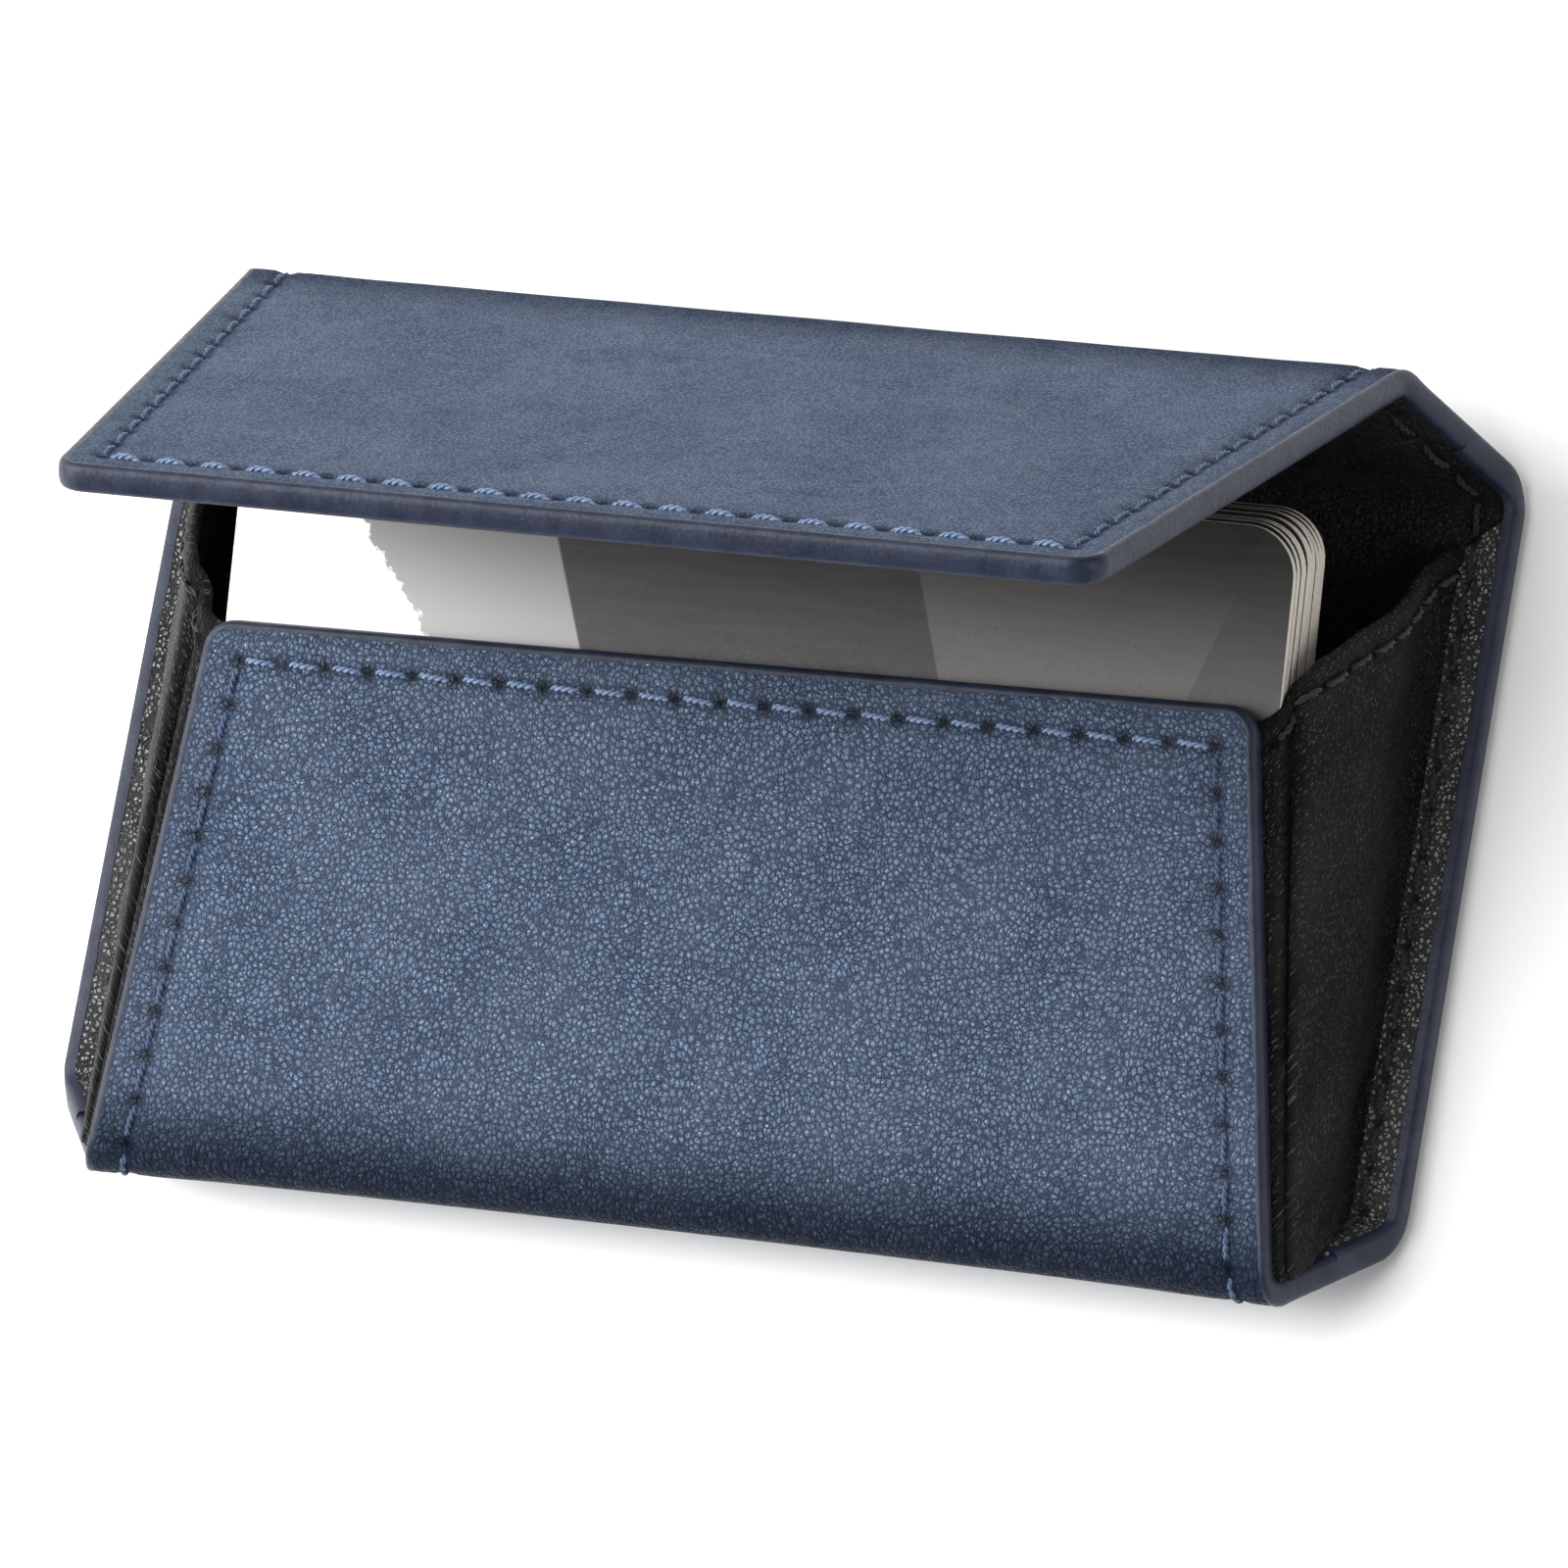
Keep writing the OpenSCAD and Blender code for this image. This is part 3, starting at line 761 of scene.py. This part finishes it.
def magnet_material():
    m = Paint("magnet_plating", 0.3, Metallic=1.0)
    place = m.place()
    brush = m.noise(m.vector("MULTIPLY", place, (300, 6000, 300)), 1.0, 3.0)
    stain = m.noise(place, 260.0, 4.0)
    colour = m.mix(m.span(stain, 0.4, 0.7), (0.56, 0.55, 0.52), (0.40, 0.39, 0.37))
    return m.finish(colour, m.span(brush, 0.3, 0.7, 0.22, 0.42), brush, 0.00002)


def floor_material():
    m = Paint("floor", 0.9, Specular_IOR_Level=0.1)
    place = m.place()
    cloud = m.noise(place, 8.0, 3.0)
    colour = m.mix(m.span(cloud, 0.3, 0.7), (0.90, 0.90, 0.90), (0.92, 0.92, 0.92))
    return m.finish(colour)


# the pale colour lightens the pebble tops, partly a rubbed two-tone finish and partly painted
# highlight; the flap's blue is the front's blue darkened for the flap, which the lamps light more:
# painted shade
BLUE = (0.086, 0.134, 0.222)
FLAP_BLUE_SHADED = (0.044, 0.076, 0.146)
NAVY = (0.012, 0.024, 0.054)
PALE_RUB_AND_HIGHLIGHT = (0.360, 0.430, 0.560)
FRONT_LEATHER = leather("front_leather", BLUE, NAVY, PALE_RUB_AND_HIGHLIGHT, 0.42, 0.00026, 0.95, 0.38, 0.34, 1.0)
FLAP_LEATHER = leather("flap_leather", FLAP_BLUE_SHADED, NAVY, PALE_RUB_AND_HIGHLIGHT, 0.32, 0.00008, 0.30, 0.58, 0.18, 0.60)
BACK_LEATHER = leather("back_leather", BLUE, NAVY, PALE_RUB_AND_HIGHLIGHT, 0.42, 0.00016, 0.70, 0.46, 0.34, 0.85)
# the light grain tops of the black lining stand for specks of reflected light: in the lining partly
# its dark grey and partly painted highlight, in the gusset and the flange painted highlight; the
# flange's leather is a brighter copy of the lining, for the flange that catches the light: painted
# highlight
BLACK = (0.0045, 0.0045, 0.0047)
SOOT = (0.0012, 0.0012, 0.0013)
GREY_TOP_AND_HIGHLIGHT = (0.090, 0.090, 0.095)
SILVER_HIGHLIGHT = (0.56, 0.56, 0.58)
SLATE_HIGHLIGHT = (0.17, 0.17, 0.175)
LINING = leather("lining_leather", BLACK, SOOT, GREY_TOP_AND_HIGHLIGHT, 0.42, 0.00018, 0.65, 0.40, 0.30)
GUSSET = leather("gusset_leather", BLACK, SOOT, SLATE_HIGHLIGHT, 0.40, 0.00030, 0.70, 0.46, 0.14, cover=0.02)
LIT_FLANGE_LINING = leather("lit_flange_lining", tuple(4.0 * c for c in BLACK), BLACK, SILVER_HIGHLIGHT, 0.42, 0.00030,
                 0.75, 0.36, 0.40, cover=0.10)
PAINT = paint_material()
# one thread in two copies: the side seams' copy is darker, painted shade from the groove it lies in,
# and the free edges' copy paler, painted highlight
SHADED_SIDE_THREAD = thread_material("shaded_side_thread", (0.014, 0.028, 0.070), (0.085, 0.135, 0.25))
LIT_EDGE_THREAD = thread_material("lit_edge_thread", (0.07, 0.12, 0.23), (0.24, 0.33, 0.49))
BLACK_THREAD = thread_material("black_thread", (0.004, 0.004, 0.005), (0.03, 0.03, 0.034))
CARD_FACE = card_face_material()
CARD_EDGE = paper_material()

# ---- Sections of the strip ----

# A section stays on one body, or is left where it lies across a crease between two. The front one
# takes in half the bottom strip, because the two are one body.
BLEND_HALF = 2.6        # half the span about a crease that bend_at sets out


def bend_at(parent, child, crease, direction):
    """A bend about a crease: direction is the slope along which a piece passes it."""
    step = BLEND_HALF * heading(direction)
    return parent, child, crease - step, crease + step


def let_bend(piece, parent, child, start, end):
    """Bakes a piece's placement into its mesh."""
    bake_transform(piece)


AT_BOTTOM = bend_at("front", "back", BOTTOM_CREASE, -STRIP_RISE / 2)
AT_TOP = bend_at("back", "top_strip", TOP_CREASE, TOP_SLOPE / 2)
AT_FLAP = bend_at("top_strip", "flap", FLAP_CREASE, (TOP_SLOPE + FLAP_SLOPE) / 2)


# name, p0, p1, free end, leather, bend
SECTIONS = [
    ("front", 0, P_STRIP_MID, "low", FRONT_LEATHER, None),
    ("bottom", P_STRIP_MID, P_BACK_MID, None, BACK_LEATHER, AT_BOTTOM),
    ("back", P_BACK_MID, P_TOP_MID, None, BACK_LEATHER, AT_TOP),
    ("flap", P_TOP_MID, STRIP_END, "high", FLAP_LEATHER, AT_FLAP),
]
# the panels whose CAD layers a section stands for
PANELS = {"front": ("front", "bottom"), "bottom": ("back",), "back": ("top",), "flap": ("flap",)}
SEWING = {"front": "front_stitching", "bottom": "back_stitching", "flap": "flap_stitching"}
FLANGE_LEVEL = HALF_T + 0.25    # top of the gusset's sewn flange, above the mid-plane

for name, p0, p1, free, cover, bend in SECTIONS:
    first_p = p0 + STITCH_INSET if free == "low" else p0
    last_p = p1 - STITCH_INSET if free == "high" else p1
    sides = both_sides(first_p, last_p)
    ends = [end_seam(first_p if free == "low" else last_p)] if free else []
    seams = sides + ends
    inner_level = FLANGE_LEVEL if name in ("bottom", "back") else HALF_T
    made = [
        (skin(name + "_outer_leather", p0, p1, True, seams, cover, free), "outer_leather", "_cover"),
        (skin(name + "_inner_leather", p0, p1, False, seams, LINING, free),
         "lining_leather", "_lining"),
        (edge_paint(name + "_painted_edge", p0, p1, PAINT, free, inner_level + BEAD_SWELL),
         "edge_paint", "_edge_paint"),
        (thread(name + "_outer_thread", sides, SHADED_SIDE_THREAD, True, slant=0.07), "thread", None),
        (thread(name + "_inner_thread", seams, BLACK_THREAD, False, inner_level), "thread", None),
    ]
    if ends:
        stitches = thread(name + "_edge_thread", ends, LIT_EDGE_THREAD, True, slant=0.10, lift=0.16)
        made.append((stitches, "thread", None))
    for piece, slot, layer in made:
        if bend:
            let_bend(piece, *bend)
        else:
            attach(piece, "front")
        if layer:
            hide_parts(*(panel + layer for panel in PANELS[name]))
    if name in SEWING:
        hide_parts(SEWING[name])

# ---- Gussets ----

HEM_BACK = 54.6         # height on the back panel where the hem leaves the flange
FLANGE_W = 4.4          # width of the sewn flange
FLANGE_INSET = 0.9      # a flange starts this far inside the outline
FLANGE_GROOVE = (0.16, 0.5)     # depth and reach of its seam, and of its needle holes
FLANGE_PIT = (0.30, 0.36)
FLANGE_TOP_GAP = 1.6    # it stops this far below the top crease
GUSSET_T = 0.55         # thickness of a gusset's wall
GUSSET_GROOVE = (0.12, 0.45)    # and of the hem's
GUSSET_PIT = (0.26, 0.36)
HEM_PITCH = 3.0         # from one needle hole of the hem to the next
HEM_INSET = 2.2         # its seam, from its fold
HEM_SWELL = 0.28        # the turned hem is this much thicker on each side
# how far the hem stands above a straight level, at each entry of the path in gusset_mid
HEM_RISE = [0.0, 0.3, 1.0, 2.2, 3.8, 4.4, 2.7, 0.8, 0.1, 0.0]
CARD_EDGE_X = 43.8      # the cards' right-hand edges, from the middle of the holder


def soft_sheet(name, sides, rows, columns, flip, material, flat, hole, line, rim):
    """A closed sheet from its two sides' points. Its masks show on the first side only."""
    # the groove and pit masks are where its material paints shade into the seam and its needle holes
    return make_object(name, np.concatenate(sides), two_sided(rows, columns, flip), material,
                       np.tile(flat, (2, 1)), bend=rim * 0, pit=near(hole, 0.42),
                       groove=near(line, 0.6), rim=rim)


def flange(name, side, p0, p1):
    """The gusset's flange, sewn flat along the edge of the back panel and the bottom strip."""
    p = graded(p0, p1, SKIN_STEP, SKIN_STEP)
    inset = np.linspace(FLANGE_INSET, FLANGE_W, 14)
    x = side * (half_width(p)[:, None] - inset[None] / lean(p)[:, None])
    rows, columns = x.shape
    pp = np.broadcast_to(p[:, None], x.shape)
    at_hem = p1 > P_BACK_MID
    if at_hem:
        pp = p0 + (pp - p0) * (1 - inset * 0.9 / (p1 - p0))
    x, pp = x.ravel(), pp.ravel()
    hole, line = seam_distance(x, pp, both_sides(p0, P_TOP_MID if at_hem else p1))
    swell = 0.06 * np.sin(math.pi * (inset - FLANGE_INSET) / (FLANGE_W - FLANGE_INSET))
    top = FLANGE_LEVEL + np.tile(swell, rows) - pressed(line, hole, FLANGE_GROOVE, FLANGE_PIT)
    sides = [fold(x, pp, top), fold(x, pp, np.full(len(x), HALF_T - 0.35))]
    return soft_sheet(name, sides, rows, columns, side > 0, LIT_FLANGE_LINING, np.stack([x, pp, top], -1),
                      hole, line, np.zeros(len(x)))


def spline(s, path, column):
    """Smooth curve through the path's entries at s. An entry may vary over the levels."""
    knots = [entry[0] for entry in path]
    values = [np.broadcast_to(entry[column], s.shape) for entry in path]
    result = np.zeros(s.shape)
    for k in range(len(path) - 1):
        a, b = knots[k], knots[k + 1]
        inside = (s >= a) & ((s < b) | (k == len(path) - 2))
        before, after = max(k - 1, 0), min(k + 2, len(path) - 1)
        slope_a = (values[k + 1] - values[before]) / (b - knots[before]) * (b - a)
        slope_b = (values[after] - values[k]) / (knots[after] - a) * (b - a)
        u = (s - a) / (b - a)
        curve = (values[k] * (2 * u ** 3 - 3 * u ** 2 + 1) + values[k + 1] * (3 * u ** 2 - 2 * u ** 3)
                 + slope_a * (u ** 3 - 2 * u ** 2 + u) + slope_b * (u ** 3 - u ** 2))
        result = np.where(inside, curve, result)
    return result


def gusset_mid(side):
    """The middle surface of a gusset wall: t up it, s across it, and its points in mm.

    Each level runs from the flange on the back panel, up a steep valley, over a belly and a soft
    fold beside the front panel's edge, and in behind that panel.
    """
    level = graded(0, 1, 0.0085, 0.016, 0.0, 0.12)
    t, s = np.meshgrid(level, np.linspace(0, 1, 96), indexing="ij")
    back_p = P_BOTTOM + t * HEM_BACK
    back = fold(half_width(back_p) - FLANGE_W + 0.25, back_p, HALF_T + 0.05) / MM
    front_p = P_FRONT - t * (P_FRONT - 1.2)
    front = fold(half_width(front_p), front_p, HALF_T - 0.15) / MM
    root, front_x = back[..., 0], front[..., 0]
    room = root - front_x
    ridge = front_x + np.minimum(0.9, 0.14 * room)
    dip = np.maximum(front_x + 0.17 * room, np.minimum(CARD_EDGE_X + 0.5, front_x + 0.4 * room))
    crest = dip + 0.13 * room
    # share of the way across, x, and share of the depth from the back panel to the front panel
    path = [(0.00, root, 0.0), (0.07, root - 0.35, 0.03), (0.22, root - 0.17 * room, 0.20),
            (0.42, root - 0.20 * room, 0.48), (0.60, crest + 0.42 * (root - crest), 0.74),
            (0.74, crest + 0.06 * (root - crest), 0.945),
            (0.81, dip, 0.905 + 0.045 * smooth(0.75, 1, t)), (0.88, ridge, 0.985),
            (0.93, front_x - 0.3, 1.0), (1.00, front_x - 1.8, 1.0)]
    x, depth = spline(s, path, 1), spline(s, path, 2)
    mid = back * (1 - depth)[..., None] + front * depth[..., None]
    where = np.stack([s * 14, t * 48, s * 0], -1).reshape(-1, 3)
    crumple = wander(where, 0.15, 4.0 * side).reshape(t.shape)
    crease = wander(where * [1, 0.35, 1], 0.40, 9.0 * side).reshape(t.shape)
    loose = smooth(0.03, 0.2, s) * (1 - smooth(0.62, 0.74, s))
    loose = loose * smooth(0.0, 0.2, t) * (1 - 0.6 * smooth(0.85, 1, t))
    mid[..., 0] = side * (x + loose * (0.50 * crumple + 0.22 * crease))
    rise = np.interp(s, [entry[0] for entry in path], HEM_RISE)
    mid[..., 1] += rise * smooth(0.55, 1.0, t) ** 1.5
    return t, s, mid


def gusset(name, side):
    """A soft gusset wall with a turned hem, as a closed sheet, and what its hem's thread follows."""
    t, s, mid = gusset_mid(side)
    rows, columns = t.shape
    normal = np.cross(np.gradient(mid, axis=0), np.gradient(mid, axis=1))
    normal /= np.maximum(np.linalg.norm(normal, axis=2), 1e-9)[..., None]
    if normal[rows // 2, 40, 0] * side < 0:
        normal = -normal
    width = np.cumsum(np.linalg.norm(np.diff(mid, axis=1, prepend=mid[:, :1]), axis=2), axis=1)
    depth = np.linalg.norm(np.diff(mid, axis=0, append=mid[-1:]), axis=2)
    down = np.cumsum(depth[::-1], axis=0)[::-1]
    line = np.abs(down - HEM_INSET)
    hole = np.hypot(width - np.round(width / HEM_PITCH) * HEM_PITCH, line)
    hem = HEM_SWELL * (1 - smooth(2.9, 3.3, down)) * np.sqrt(np.clip(down / 0.6, 0, 1))
    half = GUSSET_T / 2 + hem - 0.12 * (1 - smooth(0, 0.5, down))
    press = pressed(line, hole, GUSSET_GROOVE, GUSSET_PIT)
    out = mid + normal * (half - press)[..., None]
    inside = mid - normal * half[..., None]
    turned = np.dot(np.cross(out[40, 41] - out[40, 40], out[41, 40] - out[40, 40]), normal[40, 40])
    flat = np.stack([width, down + 200 * side, s * 0], -1).reshape(-1, 3)
    rim = (1 - smooth(0.0, 0.5, down)).ravel() * 0.5
    piece = soft_sheet(name, [out.reshape(-1, 3) * MM, inside.reshape(-1, 3) * MM], rows, columns,
                       bool(turned <= 0), GUSSET, flat, hole.ravel(), line.ravel(), rim)
    row = int(np.argmin(np.abs(down[:, columns // 2] - HEM_INSET)))
    return piece, (mid[row] + normal[row] * half[row][:, None], normal[row], width[row])


def hem_thread(name, seam, material):
    """Thread along the hem, on the gusset's outer face."""
    line, normal, length = seam
    t = np.linspace(0, 1, 13)
    arch = np.sin(math.pi * t) ** 0.45
    points, faces, first = [], [], 0
    for k in range(int(length[-1] / HEM_PITCH)):
        at = (k + np.linspace(0.08, 0.92, len(t))) * HEM_PITCH
        core = np.stack([np.interp(at, length, line[:, c]) for c in range(3)], -1)
        out = np.stack([np.interp(at, length, normal[:, c]) for c in range(3)], -1)
        tangent = np.gradient(core, axis=0)
        tangent /= np.linalg.norm(tangent, axis=1)[:, None]
        across = np.cross(out, tangent)
        core = core + out * (-0.4 + 0.48 * arch)[:, None]
        for strand in range(2):
            turn = 2 * math.pi * 1.4 * t + math.pi * strand + k
            points.append(twisted(core, across, out, turn, 0.12, THREAD_R * 0.9))
            faces += grid_faces(len(t), STRAND_SIDES, first, wrap=True, flip=True)
            first += len(t) * STRAND_SIDES
    points = np.concatenate(points)
    return make_object(name, points * MM, faces, material, points)


ALONG_FRONT = heading(FRONT_TILT)
INTO_FRONT = np.array([-ALONG_FRONT[1], ALONG_FRONT[0]])
# the span from 16 to 2 mm behind the front bend, given with each gusset piece
IN_GUSSET = ("back", "front", FRONT_BEND - 16.0 * INTO_FRONT, FRONT_BEND - 2.0 * INTO_FRONT)

for side, word in ((-1, "left"), (1, "right")):
    wall, hem_seam = gusset(word + "_gusset_wall", side)
    let_bend(wall, *IN_GUSSET)
    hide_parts(word + "_gusset")
    stitches = hem_thread(word + "_hem_thread", hem_seam, BLACK_THREAD)
    let_bend(stitches, *IN_GUSSET)
    lower = flange(word + "_gusset_lower_flange", side, P_STRIP_MID, P_BACK_MID)
    let_bend(lower, *AT_BOTTOM)
    upper = flange(word + "_gusset_upper_flange", side, P_BACK_MID, P_TOP - FLANGE_TOP_GAP)
    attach(upper, "back")

# ---- Cards ----

CARD_W, CARD_H, CARD_T = 85.6, 54.0, 0.76
CARD_R = 4.0            # rounded corners
CARD_COUNT = 10
CARD_PITCH = 0.79       # from one card's face to the next
CARD_STEP = 0.2         # each card stands this much higher than the one before it
CARD_SET_OVER = 1.0     # the stack stands a little to the right in its pocket
FIRST_SEAT = 4.468      # the first card's foot, up the front panel from its bend
FIRST_W = 1.3           # and its face, behind that panel's middle


def on_front_plane(x, v, w):
    """A place v up the front panel from its bend and w behind its mid-plane."""
    y, z = (FRONT_BEND[k] + v * ALONG_FRONT[k] - w * INTO_FRONT[k] for k in (0, 1))
    return np.stack([x, y, z], -1) * MM


def card(index, random):
    """One card: rounded corners, a printed face and rear, and paper edges with a slight burr."""
    line = []
    for cx, cv, start in ((1, 1, 0), (-1, 1, 90), (-1, -1, 180), (1, -1, 270)):
        for turned in range(0, 91, 9):
            a = math.radians(start + turned)
            line.append((cx * (CARD_W / 2 - CARD_R) + CARD_R * math.cos(a),
                         CARD_H / 2 + cv * (CARD_H / 2 - CARD_R) + CARD_R * math.sin(a)))
    line = np.array(line)
    away = line - [0, CARD_H / 2]
    away /= np.linalg.norm(away, axis=1)[:, None]
    aside, up = random.normal(0, 0.07, 2)
    rings = [(0.06, 0.0), (0.0, 0.06), (-0.015, 0.5), (0.0, 0.94), (0.06, 1.0)]   # inset, depth
    points, flats = [], []
    for inset, share in rings:
        at = line - away * inset
        w = FIRST_W + index * CARD_PITCH + 0.02 + (CARD_T - 0.04) * share
        x = at[:, 0] + CARD_SET_OVER + aside
        v = at[:, 1] + FIRST_SEAT + index * CARD_STEP + up
        points.append(on_front_plane(x, v, w))
        flats.append(np.column_stack([at, np.full(len(at), w + index)]))
    size = len(line)
    faces = grid_faces(len(rings), size, wrap=True)
    edge_count = len(faces)
    faces += [list(range(size))[::-1], list(range((len(rings) - 1) * size, len(rings) * size))]
    made = make_object("card_%02d" % (index + 1), np.concatenate(points), faces, CARD_EDGE,
                       np.concatenate(flats))
    made.data.materials.append(CARD_FACE)
    for k in (edge_count, edge_count + 1):
        made.data.polygons[k].material_index = 1
        made.data.polygons[k].use_smooth = False
    return made


card_random = np.random.default_rng(5)
for index in range(CARD_COUNT):
    piece = card(index, card_random)
    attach(piece, "front")
    if index == 0:
        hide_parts("card_stack")

# ---- CAD nodes that stay, inside the panels ----

BOARD = board_material()
MAGNET = magnet_material()
for name, node in frame["nodes"].items():
    if name.endswith("_board") or name.endswith("_magnets"):
        finish = BOARD if name.endswith("_board") else MAGNET
        node.data.materials.clear()
        node.data.materials.append(finish)

# ---- Floor, light and camera ----

FLOOR_SIZE = 6          # metres
FLOOR_DROP = 0.00012    # below the holder's lowest point, in metres

bpy.ops.mesh.primitive_grid_add(x_subdivisions=8, y_subdivisions=8, size=FLOOR_SIZE,
                                location=(0, 0, cad_box[0].z - FLOOR_DROP))
floor = bpy.context.object
floor.name = "floor"
floor.data.materials.append(floor_material())


def softbox(name, direction, distance, size, watts):
    """A flat light of that size in metres, looking at the holder's origin from a direction."""
    lamp = bpy.data.lights.new(name, "AREA")
    lamp.shape = "RECTANGLE"
    lamp.size, lamp.size_y = size
    lamp.energy = watts
    made = bpy.data.objects.new(name, lamp)
    scene.collection.objects.link(made)
    made.location = Vector(direction).normalized() * distance
    made.rotation_euler = (-Vector(direction)).to_track_quat("-Z", "Y").to_euler()


softbox("key_light", (-0.80, -0.05, 0.66), 0.6, (0.50, 0.50), 6.4)
softbox("top_light", (-0.30, -0.05, 0.95), 1.0, (0.60, 0.60), 6.0)
softbox("back_light", (-0.20, 0.95, 0.60), 1.0, (0.8, 0.4), 2.2)
softbox("front_light", (0.15, -1.0, 0.55), 1.1, (0.7, 0.3), 0.5)
softbox("right_light", (0.92, -0.10, 0.40), 0.9, (0.25, 0.60), 2.0)

world = bpy.data.worlds.new("studio")
scene.world = world
world.use_nodes = True
background = world.node_tree.nodes["Background"].inputs
background["Color"].default_value = (1, 1, 1, 1)
background["Strength"].default_value = 0.25
scene.view_settings.view_transform = "Standard"

CAMERA_TURN = {"Y": 19.211, "X": 12.599, "Z": 10.139}   # degrees, applied in this order
CAMERA_OFFSET = (4.917, 29.386, 931.56)     # millimetres from the bottom crease, in its own axes
CAMERA_LENS = 276.9     # millimetres

camera_data = bpy.data.cameras.new("camera")
camera_data.lens = CAMERA_LENS
camera = bpy.data.objects.new("camera", camera_data)
scene.collection.objects.link(camera)
turn = Matrix.Identity(4)
for axis, angle in CAMERA_TURN.items():
    turn = turn @ Matrix.Rotation(math.radians(angle), 4, axis)
crease = Vector((0, *(BOTTOM_CREASE * MM)))
camera.matrix_world = Matrix.Translation(crease + turn @ (Vector(CAMERA_OFFSET) * MM)) @ turn
camera_data.clip_start = 0.01
scene.camera = camera
